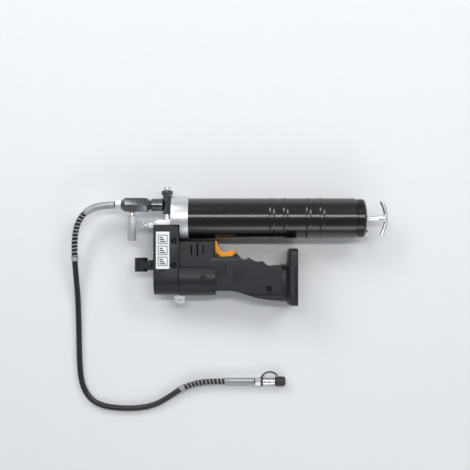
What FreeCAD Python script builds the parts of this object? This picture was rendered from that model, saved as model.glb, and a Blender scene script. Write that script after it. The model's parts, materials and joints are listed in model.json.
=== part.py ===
import FreeCAD, Part
import math
import os

import Sketcher

# Cordless grease gun lying on its side: a pump head with a cartridge barrel, a gear housing, a
# motor housing with a pistol grip and battery dock, an outlet block and a high-pressure hose.
# Millimetres. X runs along the barrel towards its T-handle, Y from the grip up to the barrel,
# Z up from the surface that the gun lies on.
#
# Every place is counted from one datum: the rear face of the head's collar on the barrel axis.

DRIVING_SIZES = {
    # datum
    "head_x": -93.3, "barrel_y": 38.95, "middle_z": 31.5,
    # pump head
    "collar_radius": 31.3, "collar_length": 24.0, "notch_depth": 12.4, "notch_drop": 9.2,
    "bore_depth": 9.0, "cast_left": 48.0, "cast_top": 2.0, "cast_half_depth": 13.0,
    "cast_foot_left": 45.0, "cast_foot_right": 18.5, "cast_foot_drop": 20.0,
    "pump_left": 30.5, "pump_case_radius": 11.0, "pump_case_drop": 50.0, "pump_bore_radius": 6.5,
    "boss_radius": 4.8, "boss_top": 5.8, "port_radius": 1.8, "inlet_drop": 6.2,
    # barrel and follower
    "barrel_radius": 28.5, "barrel_wall": 1.5, "barrel_length": 234.5, "thread_clearance": 0.06,
    "gasket_thickness": 1.5, "bead_height": 0.55, "bead_width": 7.4,
    "bead_first": 117.0, "bead_pair": 19.1, "bead_group": 51.0,
    "cap_radius": 26.8, "cap_length": 13.6, "cap_seam": 1.8,
    "rod_radius": 3.0, "rod_clearance": 0.05, "plunger_front": 12.0, "plunger_length": 15.0,
    "plunger_clearance": 0.4, "plate_thickness": 2.5, "bushing_radius": 3.9, "bushing_length": 3.5,
    "latch_drop": 18.4, "handle_gap": 1.2, "shank_length": 14.7, "shank_radius": 4.0, "bow_reach": 12.3,
    "bow_half_width": 24.4, "bow_drop": 8.6, "bow_radius": 3.0,
    # outlet
    "outlet_rise": 19.0, "fitting_flats": 12.0, "fitting_top": 33.0, "fitting_head_flats": 15.6,
    "fitting_head_top": 39.5, "plug_radius": 5.2, "plug_top": 44.6, "valve_bore_radius": 3.2,
    "ball_radius": 2.8, "ball_seat": 11.0, "adapter_radius": 9.0, "adapter_length": 17.2,
    "adapter_shank_radius": 5.0, "adapter_shank_length": 6.0, "tee_flats": 19.4, "tee_length": 41.3,
    "tee_gap": 0.7, "tee_cone": 7.0, "flow_radius": 2.5,
    # relief valve and bleeder
    "relief_left": 80.7, "washer_radius": 4.2, "washer_thickness": 1.4, "relief_neck_radius": 3.2,
    "relief_neck_length": 4.0, "relief_flats": 11.4, "relief_length": 36.2,
    "relief_bore_radius": 3.2, "poppet_radius": 2.9, "poppet_length": 6.0,
    "bleeder_drop": 9.9, "bleeder_flats": 7.4, "bleeder_length": 9.6, "bleeder_spigot_radius": 2.6,
    "bleeder_spigot_length": 7.0, "stem_radius": 1.5, "stem_out": 6.4, "bar_radius": 1.6,
    "bar_half_length": 6.0,
    # gear housing
    "motor_drop": 85.0, "case_left": 48.7, "seam_left": 12.5, "case_top_drop": 9.2,
    "case_radius": 23.5, "case_wall": 2.5, "case_corner": 4.5, "edge_round": 1.6,
    # motor housing, grip and dock
    "motor_case_radius": 24.5, "motor_case_right": 38.0, "block_right": 36.4,
    "block_top_drop": 32.4, "block_half_depth": 17.0, "block_round": 2.0, "grip_wall": 2.4,
    "grip_half_depth": 18.0, "grip_round": 13.0, "slot_width": 2.1, "vent_radius": 0.85, "grip_end": 131.3, "ring_length": 5.4,
    "ring_stand": 1.3, "flange_left": 143.5, "flange_right": 153.1,
    "flange_top_drop": 43.0, "flange_bottom_drop": 122.5, "flange_corner": 7.0,
    "dock_recess_depth": 5.0, "dock_recess_top": 58.0, 
    "dock_half_width": 22.0, "rail_left": 148.0, "rail_right": 152.2, "rail_top_drop": 77.7,
    "rail_bottom_drop": 115.2, "rail_depth": 3.0, "rail_thickness": 1.2,
    # trigger and switch
    "trigger_left": 36.9, "trigger_right": 65.2, "trigger_half_depth": 6.8, "trigger_foot": 60.5,
    "trigger_gap": 0.5, "switch_top_drop": 68.5, "switch_size": 17.0,
    # gear train and motor
    "sun_teeth": 12, "planet_teeth": 24, "gear_module": 0.62, "pressure_angle": 25.0,
    "tooth_play": 0.05, "gear_width": 8.0, "gear_left": 16.4, "ring_gear_radius": 20.8,
    "pin_radius": 2.0, "running_clearance": 0.05, "carrier_radius": 15.0,
    "carrier_thickness": 2.6, "hub_radius": 9.0, "plate_left": 24.5, "gear_plate_thickness": 3.0,
    "crank_throw": 6.0, "crank_pin_radius": 3.4, "yoke_thickness": 8.4, "yoke_half_height": 9.0,
    "yoke_half_width": 14.5, "piston_radius": 4.0, "piston_top_drop": 12.6, "open_gap": 0.3,
    "can_radius": 19.0, "can_wall": 1.4, "can_left": 4.6, "can_right": 29.4, "shaft_radius": 1.6,
    "shaft_end": 39.0, "armature_radius": 13.2, "winding_centre": 9.8, "magnet_thickness": 3.2, "commutator_radius": 4.6,
    # fixings
    "screw_head_radius": 3.6, "screw_hole_radius": 4.1, "screw_sink": 2.2, "screw_boss_radius": 5.6,
    "motor_screw_sink": 1.3, "shank_reach": 18.0,
    "clip_centre": 67.5, "clip_radius": 9.3, "clip_strip": 1.2, "clip_top_drop": 56.0,
    "clip_bottom_drop": 75.5, "clip_tang_right": 50.0, "eye_hole_radius": 1.6,
    "eye_half_thickness": 1.0, "label_thickness": 0.35,
    # hose
    "hose_radius": 4.1, "guard_radius": 5.4, "guard_clearance": 0.05, "hose_nut_flats": 12.4,
    "hose_nut_length": 8.45, "coupler_nut_length": 8.2, "coupler_radius": 6.0,
    "coupler_length": 24.0, "dust_cap_radius": 6.9, "dust_cap_length": 14.7, "tether_radius": 1.1,
}

# Stations along the grip: distance behind the datum, drop of the finger side and of the palm side.
GRIP_STATIONS = (
    (30.0, 54.0, 101.6), (38.0, 54.0, 102.2), (50.0, 54.0, 101.8), (60.0, 53.4, 102.2),
    (67.6, 49.8, 103.4), (74.6, 57.6, 105.3), (79.6, 58.6, 107.0), (85.5, 55.9, 108.9),
    (94.0, 61.0, 111.6), (99.6, 61.8, 112.8), (104.9, 60.8, 113.7), (110.5, 66.2, 114.6),
    (115.4, 67.6, 115.3), (124.0, 66.8, 116.1), (131.3, 66.2, 116.8),
)
SECTION_POINTS = 20
GRIP_BAR_TOP = 47.0
GRIP_BAR_BOTTOM = 117.5

# The hose from its nut on the outlet block to its coupler: distance along X and Y from the datum
# and height over the surface.
HOSE_ROUTE = (
    (-104.4, 19.2, 31.5), (-119.5, 18.6, 31.5), (-134.5, 15.6, 31.0), (-147.5, 8.6, 29.8),
    (-156.8, -3.0, 28.0), (-161.9, -18.0, 25.6), (-164.2, -37.0, 22.4), (-164.4, -60.0, 17.8),
    (-163.0, -88.0, 11.2), (-161.4, -120.0, 5.6), (-160.6, -158.0, 4.15), (-159.9, -196.0, 4.1),
    (-158.6, -226.0, 4.1), (-153.6, -246.5, 4.1), (-142.6, -262.4, 4.1), (-125.0, -271.6, 4.1),
    (-98.0, -274.8, 4.1), (-72.0, -274.2, 4.1), (-50.0, -269.4, 4.2), (-31.0, -258.6, 5.0),
    (-13.5, -246.6, 6.2), (4.0, -239.0, 6.8), (22.0, -235.8, 7.0), (45.0, -235.2, 7.0),
    (70.0, -235.0, 7.0), (94.6, -235.0, 7.0),
)
GUN_GUARD_POINTS = 7
COUPLER_GUARD_POINTS = 6

VENT_GROUPS = ((42.2, 3.8, 65.4, 3.6), (65.0, 3.8, 74.0, 3.6))
VENT_COLUMNS = 4
VENT_ROWS = 5
COOLING_SLOTS = ((4.3, 38.0, 51.4), (12.8, 34.6, 53.3), (21.0, 38.3, 50.6))
CASE_SCREWS = ((-19.7, -32.4), (-19.7, -66.5))
GRIP_SCREWS = ((21.4, -81.8), (113.5, -99.0))
CLIP_SCREW = (-53.7, -66.3)

UNIT_AXES = {
    "+x": FreeCAD.Vector(1, 0, 0), "-x": FreeCAD.Vector(-1, 0, 0),
    "+y": FreeCAD.Vector(0, 1, 0), "-y": FreeCAD.Vector(0, -1, 0),
    "+z": FreeCAD.Vector(0, 0, 1), "-z": FreeCAD.Vector(0, 0, -1),
}


class Size:
    """A number together with the spreadsheet formula that gives it."""

    def __init__(self, value, formula):
        self.value = value
        self.formula = formula

    def join(self, sign, other, value):
        return Size(value, f"({self.formula} {sign} {other.formula})")

    def __add__(self, other):
        other = size(other)
        return self.join("+", other, self.value + other.value)

    def __sub__(self, other):
        other = size(other)
        return self.join("-", other, self.value - other.value)

    def __mul__(self, other):
        other = size(other)
        return self.join("*", other, self.value * other.value)

    def __truediv__(self, other):
        other = size(other)
        return self.join("/", other, self.value / other.value)

    def __radd__(self, other):
        return size(other) + self

    def __rsub__(self, other):
        return size(other) - self

    def __rmul__(self, other):
        return size(other) * self

    def __neg__(self):
        return size(0) - self

    def __float__(self):
        return float(self.value)


def size(number):
    """A plain number as a Size."""
    if isinstance(number, Size):
        return number
    return Size(number, f"({number})")


class Sheet:
    """The driving sizes by name, each one a cell of the document's spreadsheet."""

    def __init__(self, document):
        table = document.addObject("Spreadsheet::Sheet", "Sizes")
        for row, (name, number) in enumerate(DRIVING_SIZES.items(), 1):
            table.set(f"A{row}", name)
            table.set(f"B{row}", str(number))
            table.setAlias(f"B{row}", name)
            setattr(self, name, Size(number, f"Sizes.{name}"))


document = FreeCAD.newDocument("GreaseGun")
d = Sheet(document)
document.recompute()
nodes = []


# ---------------------------------------------------------------- building blocks

def bind(thing, **sizes):
    """Give each property its size and the formula that keeps it."""
    for name, value in sizes.items():
        setattr(thing, name, size(value).value)
        thing.setExpression(name, size(value).formula)
    return thing


def place(thing, start, own_axis, direction, turn=0.0):
    """Turn a thing's own axis to a direction and put its origin at a point from the datum."""
    facing = FreeCAD.Rotation(own_axis, UNIT_AXES[direction])
    facing = facing * FreeCAD.Rotation(own_axis, turn)
    thing.Placement = FreeCAD.Placement(FreeCAD.Vector(0, 0, 0), facing)
    for letter, datum, offset in zip("xyz", (d.head_x, d.barrel_y, d.middle_z), start):
        thing.setExpression(f"Placement.Base.{letter}", (datum + offset).formula)
    return thing


def point(x, y, z=0.0):
    """A point from the datum, for the shapes that code sets."""
    return FreeCAD.Vector(
        float(d.head_x) + float(x), float(d.barrel_y) + float(y), float(d.middle_z) + float(z)
    )


def rod(start, radius, length, direction):
    """Round bar from a start point along a direction."""
    bar = bind(document.addObject("Part::Cylinder", "Rod"), Radius=radius, Height=length)
    return place(bar, start, UNIT_AXES["+z"], direction)


def tube(start, outer, inner, length, direction):
    """Round bar with a bore right through it."""
    return cut(rod(start, outer, length, direction), rod(start, inner, length, direction))


def hexagon(start, flats, length, direction, turn=0.0):
    """Hexagonal bar, stated by its size across flats."""
    bar = document.addObject("Part::Prism", "Hexagon")
    bar.Polygon = 6
    bind(bar, Circumradius=flats / math.sqrt(3), Height=length)
    return place(bar, start, UNIT_AXES["+z"], direction, turn)


def cone(start, radius, end_radius, length, direction):
    """Taper from one radius to another."""
    taper = bind(
        document.addObject("Part::Cone", "Cone"), Radius1=radius, Radius2=end_radius, Height=length
    )
    return place(taper, start, UNIT_AXES["+z"], direction)


def ball(centre, radius):
    """Sphere about a point."""
    sphere = bind(document.addObject("Part::Sphere", "Ball"), Radius=radius)
    return place(sphere, centre, UNIT_AXES["+z"], "+z")


def block(low, high):
    """Box between two corners counted from the datum."""
    length, width, height = (size(b) - a for a, b in zip(low, high))
    brick = bind(
        document.addObject("Part::Box", "Block"), Length=length, Width=width, Height=height
    )
    return place(brick, low, UNIT_AXES["+z"], "+z")


def fuse(*pieces):
    """One solid from several that meet."""
    joined = document.addObject("Part::MultiFuse", "Fuse")
    joined.Shapes = list(pieces)
    joined.Refine = True
    return joined


def group(*pieces):
    """Several separate solids in one piece."""
    gathered = document.addObject("Part::Compound", "Group")
    gathered.Links = list(pieces)
    return gathered


def cut(base, *tools):
    """A base with one or more tools taken out of it."""
    result = document.addObject("Part::Cut", "Cut")
    result.Base = base
    result.Tool = tools[0] if len(tools) == 1 else fuse(*tools)
    return result


def common(first, second):
    """What two solids share."""
    shared = document.addObject("Part::Common", "Common")
    shared.Base = first
    shared.Tool = second
    return shared


def rounded(base, radius, chosen):
    """A base with the chosen edges rounded."""
    document.recompute()
    fillet = document.addObject("Part::Fillet", "Round")
    fillet.Base = base
    numbered = enumerate(base.Shape.Edges, 1)
    fillet.Edges = [(n, float(radius), float(radius)) for n, edge in numbered if chosen(edge)]
    return fillet


def coded(shape, name="Coded"):
    """A shape that the document's own features can't make."""
    feature = document.addObject("Part::Feature", name)
    feature.Shape = shape
    return feature


def turned(corners, start, direction):
    """Body of revolution. Each corner is a distance along the axis and a radius."""
    body = document.addObject("PartDesign::Body", "Turned")
    sketch = body.newObject("Sketcher::SketchObject", "Profile")
    plane = [p for p in body.Origin.OriginFeatures if p.Role == "XZ_Plane"][0]
    sketch.AttachmentSupport = (plane, [""])
    sketch.MapMode = "FlatFace"
    corners = [(size(along), size(radius)) for along, radius in corners]
    spots = [FreeCAD.Vector(float(along), float(radius), 0) for along, radius in corners]
    count = len(spots)
    for index in range(count):
        sketch.addGeometry(Part.LineSegment(spots[index], spots[(index + 1) % count]), False)
    for index in range(count):
        following = (index + 1) % count
        sketch.addConstraint(Sketcher.Constraint("Coincident", index, 2, following, 1))
    for index, (along, radius) in enumerate(corners):
        for kind, axis, measure in (("DistanceX", -2, along), ("DistanceY", -1, radius)):
            if measure.value == 0:
                sketch.addConstraint(Sketcher.Constraint("PointOnObject", index, 1, axis))
                continue
            number = sketch.addConstraint(Sketcher.Constraint(kind, index, 1, measure.value))
            sketch.setExpression(f"Constraints[{number}]", measure.formula)
    revolution = body.newObject("PartDesign::Revolution", "Revolution")
    revolution.Profile = sketch
    revolution.ReferenceAxis = (sketch, ["H_Axis"])
    revolution.Angle = 360.0
    return place(body, start, UNIT_AXES["+x"], direction)


def node(label, thing):
    """Name a finished sub-part."""
    thing.Label = label
    nodes.append(thing)
    return thing


def coil(start, direction, radius, wire_radius, length, turns):
    """Round-wire compression spring, its wire centre on the given radius."""
    pitch = float(length) / turns
    path = Part.makeHelix(pitch, float(length), float(radius))
    wire = Part.Wire([Part.makeCircle(
        float(wire_radius), FreeCAD.Vector(float(radius), 0, 0), FreeCAD.Vector(0, 1, 0)
    )])
    spring = Part.Wire(path.Edges).makePipeShell([wire], True, True)
    feature = coded(spring, "Spring")
    facing = FreeCAD.Rotation(UNIT_AXES["+z"], UNIT_AXES[direction])
    feature.Placement = FreeCAD.Placement(point(*start), facing)
    return feature


def polygon_face(corners):
    """Flat face inside straight edges."""
    return Part.Face(Part.makePolygon(list(corners) + [corners[0]]))


# ---------------------------------------------------------------- pump head

def make_head():
    """Cast head: barrel collar, pump case below it and the outlet boss on top."""
    left = -d.pump_left
    foot = -d.cast_foot_drop
    solid = fuse(
        rod((-d.collar_length, 0, 0), d.collar_radius, d.collar_length, "+x"),
        block((-d.cast_left, -d.notch_drop, -d.cast_half_depth),
              (-d.notch_depth, -d.cast_top, d.cast_half_depth)),
        block((-d.cast_foot_left, foot, -d.cast_half_depth),
              (-d.cast_foot_right, -d.cast_top - 1.0, d.cast_half_depth)),
        rod((left, foot + 1.0, 0), d.pump_case_radius, d.pump_case_drop - 19.0, "-y"),
        rod((left, -d.cast_top - 1.0, 0), d.boss_radius, d.boss_top + d.cast_top + 1.0, "+y"),
    )
    notch = cut(
        block((-d.collar_length - 0.1, -d.collar_radius - 1.0, -d.collar_radius - 1.0),
              (-d.notch_depth + 0.8, -d.notch_drop, d.collar_radius + 1.0)),
        block((-d.cast_foot_left, foot - 1.0, -d.cast_half_depth),
              (-d.cast_foot_right, 0, d.cast_half_depth)),
        rod((left, 0, 0), d.pump_case_radius, d.pump_case_drop + 1.0, "-y"),
    )
    bore_radius = d.barrel_radius + d.thread_clearance
    head = cut(
        solid,
        notch,
        rod((-d.bore_depth, 0, 0), bore_radius, d.bore_depth + 1.0, "+x"),
        rod((left, -d.pump_case_drop - 1.0, 0), d.pump_bore_radius, d.pump_case_drop - 3.0, "+y"),
        rod((left, -d.inlet_drop, 0), d.port_radius, d.pump_left, "+x"),
        rod((left, -8.0, 0), d.port_radius, d.boss_top + 9.0, "+y"),
        rod((-d.cast_left - 1.0, -d.bleeder_drop, 0), d.bleeder_spigot_radius,
            d.bleeder_spigot_length + 1.0, "+x"),
        block((-d.cast_left - 1.0, -d.cast_top - 2.2, -d.cast_half_depth - 1.0),
              (-d.cast_left + 4.0, -d.cast_top + 1.0, d.cast_half_depth + 1.0)),
        rod((*CASE_SCREWS[0], -30.0), 1.7, 60.0, "+z"),
    )
    node("head_casting", head)
    node("head_gasket", tube((-d.bore_depth, 0, 0), d.barrel_radius, 21.0,
                             d.gasket_thickness, "+x"))
    sleeve_length = d.pump_case_drop - 4.0
    sleeve = cut(
        rod((left, -d.pump_case_drop, 0), d.pump_bore_radius, sleeve_length, "+y"),
        rod((left, -d.pump_case_drop, 0), d.piston_radius + d.running_clearance,
            sleeve_length, "+y"),
        rod((left, -d.inlet_drop, 0), d.port_radius, d.pump_bore_radius + 1.0, "+x"),
    )
    node("pump_sleeve", sleeve)


def make_pump_piston():
    """Pump piston with the slotted yoke that the crank pin drives."""
    left = -d.pump_left
    half = d.yoke_thickness / 2
    yoke = fuse(
        block((left - half, -d.motor_drop - d.yoke_half_height, -d.yoke_half_width),
              (left + half, -d.motor_drop + d.yoke_half_height, d.yoke_half_width)),
        rod((left, -d.motor_drop + d.yoke_half_height - 1.0, 0), d.piston_radius,
            d.motor_drop - d.yoke_half_height + 1.0 - d.piston_top_drop, "+y"),
    )
    slot_half = d.crank_pin_radius + d.running_clearance * 2
    slot = block(
        (left - d.yoke_thickness, -d.motor_drop - slot_half, -d.crank_throw - slot_half),
        (left + d.yoke_thickness, -d.motor_drop + slot_half, d.crank_throw + slot_half),
    )
    node("pump_piston", cut(yoke, slot))


def make_outlet():
    """Outlet fitting with its check valve, adapter and hexagonal outlet block."""
    left = -d.pump_left
    rise = d.outlet_rise
    head_length = d.fitting_head_top - d.fitting_top
    fitting_solid = fuse(
        hexagon((left, d.boss_top, 0), d.fitting_flats, d.fitting_top - d.boss_top, "+y", 30),
        common(
            hexagon((left, d.fitting_top, 0), d.fitting_head_flats, head_length, "+y", 30),
            turned(((0, 0), (0, d.fitting_head_flats / 2 - 0.2), (1.2, d.fitting_head_flats * 0.57),
                    (head_length - 1.8, d.fitting_head_flats * 0.57),
                    (head_length, d.fitting_head_flats / 2 - 1.2), (head_length, 0)),
                   (left, d.fitting_top, 0), "+y"),
        ),
    )
    thread_radius = d.valve_bore_radius + 0.9
    node("outlet_fitting", cut(
        fitting_solid,
        rod((left, d.boss_top - 1.0, 0), d.port_radius, d.fitting_top, "+y"),
        rod((left, d.ball_seat, 0), d.valve_bore_radius, d.fitting_head_top, "+y"),
        rod((left, d.fitting_top - 1.0, 0), thread_radius, head_length + 3.0, "+y"),
        rod((left, rise, 0), d.flow_radius, d.fitting_flats, "-x"),
    ))
    seat_height = math.sqrt(float(d.ball_radius) ** 2 - float(d.port_radius) ** 2) + 0.02
    node("check_ball", ball((left, d.ball_seat + seat_height, 0), d.ball_radius))
    spring_start = float(d.ball_seat) + seat_height + float(d.ball_radius) + 0.5
    spring_length = float(d.fitting_top) - 1.5 - spring_start
    node("check_spring", coil((left, spring_start, 0), "+y", 2.3, 0.4, spring_length, 7))
    plug = turned(
        ((0, 0), (0, thread_radius), (d.fitting_head_top - d.fitting_top + 1.0, thread_radius),
         (d.fitting_head_top - d.fitting_top + 1.0, d.plug_radius),
         (d.plug_top - d.fitting_top + 0.2, d.plug_radius),
         (d.plug_top - d.fitting_top + 1.0, d.plug_radius - 0.8),
         (d.plug_top - d.fitting_top + 1.0, 0)),
        (left, d.fitting_top - 1.0, 0), "+y",
    )
    node("outlet_plug", plug)

    adapter_right = left - d.fitting_flats / 2
    adapter_left = adapter_right - d.adapter_length
    adapter = turned(
        ((0, d.flow_radius), (0, d.adapter_radius - 0.8), (0.8, d.adapter_radius),
         (d.adapter_length - 1.6, d.adapter_radius),
         (d.adapter_length, d.adapter_radius - 1.6),
         (d.adapter_length, d.adapter_shank_radius),
         (d.adapter_length + d.adapter_shank_length, d.adapter_shank_radius),
         (d.adapter_length + d.adapter_shank_length, d.flow_radius)),
        (adapter_right, rise, 0), "-x",
    )
    node("outlet_adapter", adapter)

    tee_right = adapter_left - d.tee_gap
    tee_left = tee_right - d.tee_length
    corner = d.tee_flats * 0.578
    turned_envelope = turned(
        ((0, 0), (0, d.tee_flats * 0.33), (d.tee_cone, corner), (d.tee_length - d.tee_cone, corner),
         (d.tee_length, d.tee_flats * 0.33), (d.tee_length, 0)),
        (tee_left, rise, 0), "+x",
    )
    tee = cut(
        common(hexagon((tee_left, rise, 0), d.tee_flats, d.tee_length, "+x"), turned_envelope),
        rod((tee_left - 1.0, rise, 0), d.flow_radius, d.tee_length + 2.0, "+x"),
        rod((tee_right - d.adapter_shank_length + d.tee_gap, rise, 0), d.adapter_shank_radius,
            d.adapter_shank_length + 1.0, "+x"),
        rod((-d.relief_left, rise, 0), d.port_radius, d.tee_flats, "-y"),
    )
    node("outlet_block", tee)
    return tee_left


def make_relief_valve():
    """Relief valve hanging from the outlet block: washer, body, poppet and spring."""
    left = -d.relief_left
    top = d.outlet_rise - d.tee_flats / 2
    neck_top = top - d.washer_thickness
    node("relief_washer", tube((left, top, 0), d.washer_radius, d.port_radius,
                               d.washer_thickness, "-y"))
    bar_top = d.relief_neck_length
    across = d.relief_flats * 0.578
    envelope = turned(
        ((0, 0), (0, d.relief_neck_radius), (bar_top, d.relief_neck_radius),
         (bar_top, d.relief_flats / 2 - 1.6), (bar_top + 1.6, across),
         (bar_top + d.relief_length - 1.2, across),
         (bar_top + d.relief_length, d.relief_flats / 2 - 0.6), (bar_top + d.relief_length, 0)),
        (left, neck_top, 0), "-y",
    )
    body_length = d.relief_neck_length + d.relief_length
    bore_top = neck_top - bar_top - 2.0
    bored = cut(
        common(hexagon((left, neck_top, 0), d.relief_flats, body_length, "-y", 30), envelope),
        rod((left, neck_top + 1.0, 0), d.port_radius, body_length, "-y"),
        rod((left, bore_top, 0), d.relief_bore_radius, d.relief_length - 5.0, "-y"),
    )
    node("relief_body", bored)
    poppet_top = bore_top - 0.05
    node("relief_poppet", turned(
        ((0, 0), (0, d.port_radius + 0.5), (1.6, d.poppet_radius), (d.poppet_length, d.poppet_radius),
         (d.poppet_length, 0)),
        (left, poppet_top, 0), "-y",
    ))
    spring_start = poppet_top - d.poppet_length - 0.5
    node("relief_spring", coil((left, spring_start, 0), "-y", 2.3, 0.45, 22.5, 9))


def make_bleeder():
    """Air bleeder in the head's side, with its T-shaped stem."""
    right = -d.cast_foot_left - 3.7
    drop = -d.bleeder_drop
    bleeder = cut(
        fuse(
            common(
                hexagon((right, drop, 0), d.bleeder_flats, d.bleeder_length, "-x"),
                turned(((0, 0), (0, 3.0), (1.4, d.bleeder_flats * 0.55),
                        (d.bleeder_length - 2.2, d.bleeder_flats * 0.58),
                        (d.bleeder_length, 2.6), (d.bleeder_length, 0)), (right, drop, 0), "-x"),
            ),
            rod((right - 0.5, drop, 0), d.bleeder_spigot_radius, d.bleeder_spigot_length + 0.5, "+x"),
        ),
        rod((right + d.bleeder_spigot_length + 1.0, drop, 0), d.stem_radius + d.running_clearance,
            d.bleeder_length + d.bleeder_spigot_length + 2.0, "-x"),
        rod((right - d.bleeder_length / 2, drop, 0), 0.7, d.bleeder_flats, "+z"),
    )
    node("bleeder_body", bleeder)
    bar_left = right - d.bleeder_length - d.stem_out
    stem = fuse(
        rod((bar_left, drop, 0), d.stem_radius, d.stem_out + d.bleeder_length + 2.0, "+x"),
        rod((bar_left, drop - d.bar_half_length, 0), d.bar_radius, d.bar_half_length * 2, "+y"),
        rod((right - d.bleeder_length - 3.4, drop, 0), d.stem_radius + 1.0, 2.2, "+x"),
    )
    node("bleeder_stem", stem)


# ---------------------------------------------------------------- barrel and follower

def make_barrel():
    """Cartridge barrel with rolled beads, its end cap and the cap's rod bushing."""
    front = -d.bore_depth + d.gasket_thickness
    inner = d.barrel_radius - d.barrel_wall
    solid = [rod((front, 0, 0), d.barrel_radius, d.barrel_length - front, "+x")]
    for first in (d.bead_first, d.bead_first + d.bead_group):
        for number in range(2):
            middle = first + d.bead_pair * number
            crown = d.bead_width / 2
            solid.append(turned(
                ((0, inner + 0.5), (0, d.barrel_radius), (crown - 1.6, d.barrel_radius + d.bead_height),
                 (crown + 1.6, d.barrel_radius + d.bead_height), (d.bead_width, d.barrel_radius),
                 (d.bead_width, inner + 0.5)),
                (middle - crown, 0, 0), "+x",
            ))
    bored = rod((front - 1.0, 0, 0), inner, d.barrel_length - front + 2.0, "+x")
    node("barrel_tube", cut(fuse(*solid), bored))

    seam = d.cap_seam
    end = d.cap_length + seam
    rim = d.cap_radius
    deep = 6.0
    cap = turned((
        (0, inner - 2.0), (0, inner), (seam + deep, inner), (seam + deep, rim - 1.0),
        (seam + deep + 1.0, rim), (end + deep - 3.4, rim), (end + deep - 1.4, rim - 1.2),
        (end + deep, rim - 4.2), (end + deep, 14.0), (end + deep - 2.0, 12.0),
        (end + deep - 2.0, d.bushing_radius - 0.5), (deep + 2.0, d.bushing_radius - 0.5),
        (deep + 2.0, inner - 2.0),
    ), (d.barrel_length - deep, 0, 0), "+x")
    bush_left = d.barrel_length + 2.0
    bushing_end = d.barrel_length + end + d.bushing_length
    bushing = tube((bush_left, 0, 0), d.bushing_radius, d.rod_radius + d.rod_clearance,
                   bushing_end - bush_left, "+x")
    return cap, bushing, end, bushing_end


def make_cap(cap, bushing, cap_end):
    """End cap with its rod bushing and the latch's lugs and pin; the rod latch hinges on it."""
    left = d.barrel_length + cap_end + 0.3
    middle = left + 1.3
    pivot = -d.latch_drop
    lugs = [
        fuse(
            block((left - 3.6, pivot - 1.8, low), (middle, pivot + 1.5, low + 2.0)),
            rod((middle, pivot, low), 1.5, 2.0, "+z"),
        )
        for low in (-7.3, 5.3)
    ]
    pin = rod((middle, pivot, -7.3), 0.6, 14.6, "+z")
    node("end_cap", fuse(cap, bushing, *lugs, pin))
    tab = fuse(
        block((left, -30.2, -5.0), (left + 1.6, pivot, 5.0)),
        rod((middle, pivot, -5.0), 1.3, 10.0, "+z"),
    )
    node("rod_latch", cut(tab, rod((middle, pivot, -6.0), 0.65, 12.0, "+z")))


def make_follower(bushing_end):
    """Follower rod with its bow handle, plunger and spring."""
    inner = d.barrel_radius - d.barrel_wall
    front = d.plunger_front
    shank = bushing_end + d.handle_gap
    rod_length = shank + d.shank_length - front
    node("follower_rod", rod((front, 0, 0), d.rod_radius, rod_length - 2.0, "+x"))
    seal = inner - d.plunger_clearance
    cup_start = front + d.plate_thickness
    cup_length = d.plunger_length - d.plate_thickness * 2
    node("plunger_cup", turned(
        ((0, d.rod_radius), (0, seal - 2.0), (2.0, seal), (cup_length, seal),
         (cup_length, seal - 2.5), (4.0, seal - 4.5), (4.0, d.rod_radius)),
        (cup_start, 0, 0), "+x",
    ))
    washer_start = cup_start + 4.0
    node("plunger_plates", group(
        tube((front, 0, 0), seal - 3.0, d.rod_radius, d.plate_thickness, "+x"),
        tube((washer_start, 0, 0), seal - 6.0, d.rod_radius, d.plate_thickness, "+x"),
    ))
    spring_start = float(washer_start) + float(d.plate_thickness) + 1.2
    spring_length = float(d.barrel_length) + 0.6 - spring_start
    node("follower_spring", coil((spring_start, 0, 0), "+x", 17.5, 1.1, spring_length, 17))

    bow_left = float(shank + d.shank_length)
    half = float(d.bow_half_width)
    reach = float(d.bow_reach)
    drop = float(d.bow_drop)
    rise = drop - 2.0
    sweep = (half ** 2 + rise ** 2) / (2 * rise)
    spread = math.degrees(math.asin(half / sweep))
    bow = bind(document.addObject("Part::Torus", "Bow"), Radius1=sweep, Radius2=d.bow_radius,
               Angle3=2 * spread)
    place(bow, (shank + d.shank_length + d.bow_reach - 2.0 - sweep, 0, 0), UNIT_AXES["+z"], "+z",
          -spread)
    boss = turned(
        ((0, d.rod_radius), (0, d.shank_radius), (d.shank_length, d.shank_radius),
         (d.shank_length + 4.0, d.shank_radius + 1.2),
         (d.shank_length + d.bow_reach - 3.5, d.shank_radius + 2.2),
         (d.shank_length + d.bow_reach - 3.5, 0), (d.shank_length - 2.0, 0),
         (d.shank_length - 2.0, d.rod_radius)),
        (shank, 0, 0), "+x",
    )
    node("t_handle", fuse(boss, bow))


# ---------------------------------------------------------------- gear housing

def along_axis(axis):
    """Chooser for straight edges that run along an axis."""
    def chosen(edge):
        if not isinstance(edge.Curve, (Part.Line, Part.LineSegment)):
            return False
        direction = edge.tangentAt(edge.FirstParameter)
        return abs(abs(direction.dot(UNIT_AXES[axis])) - 1) < 1e-6
    return chosen


def case_solid(inset):
    """Outer or inner solid of the gear housing: a slab that ends in a half round."""
    radius = d.case_radius - inset
    left = -d.case_left + inset
    right = -d.seam_left - inset
    return fuse(
        block((left, -d.motor_drop, -radius), (right, -d.case_top_drop - inset, radius)),
        rod((left, -d.motor_drop, 0), radius, right - left, "+x"),
    )


def half_space(sign):
    """Everything on one side of the parting plane."""
    low, high = (0, 60) if sign > 0 else (-60, 0)
    return block((-120, -160, low), (300, 80, high))


def case_bosses():
    """Screw bosses inside the gear housing."""
    return [
        rod((x, y, -d.case_radius + 1.0), d.screw_boss_radius, d.case_radius * 2 - 2.0, "+z")
        for x, y in CASE_SCREWS
    ]


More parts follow.
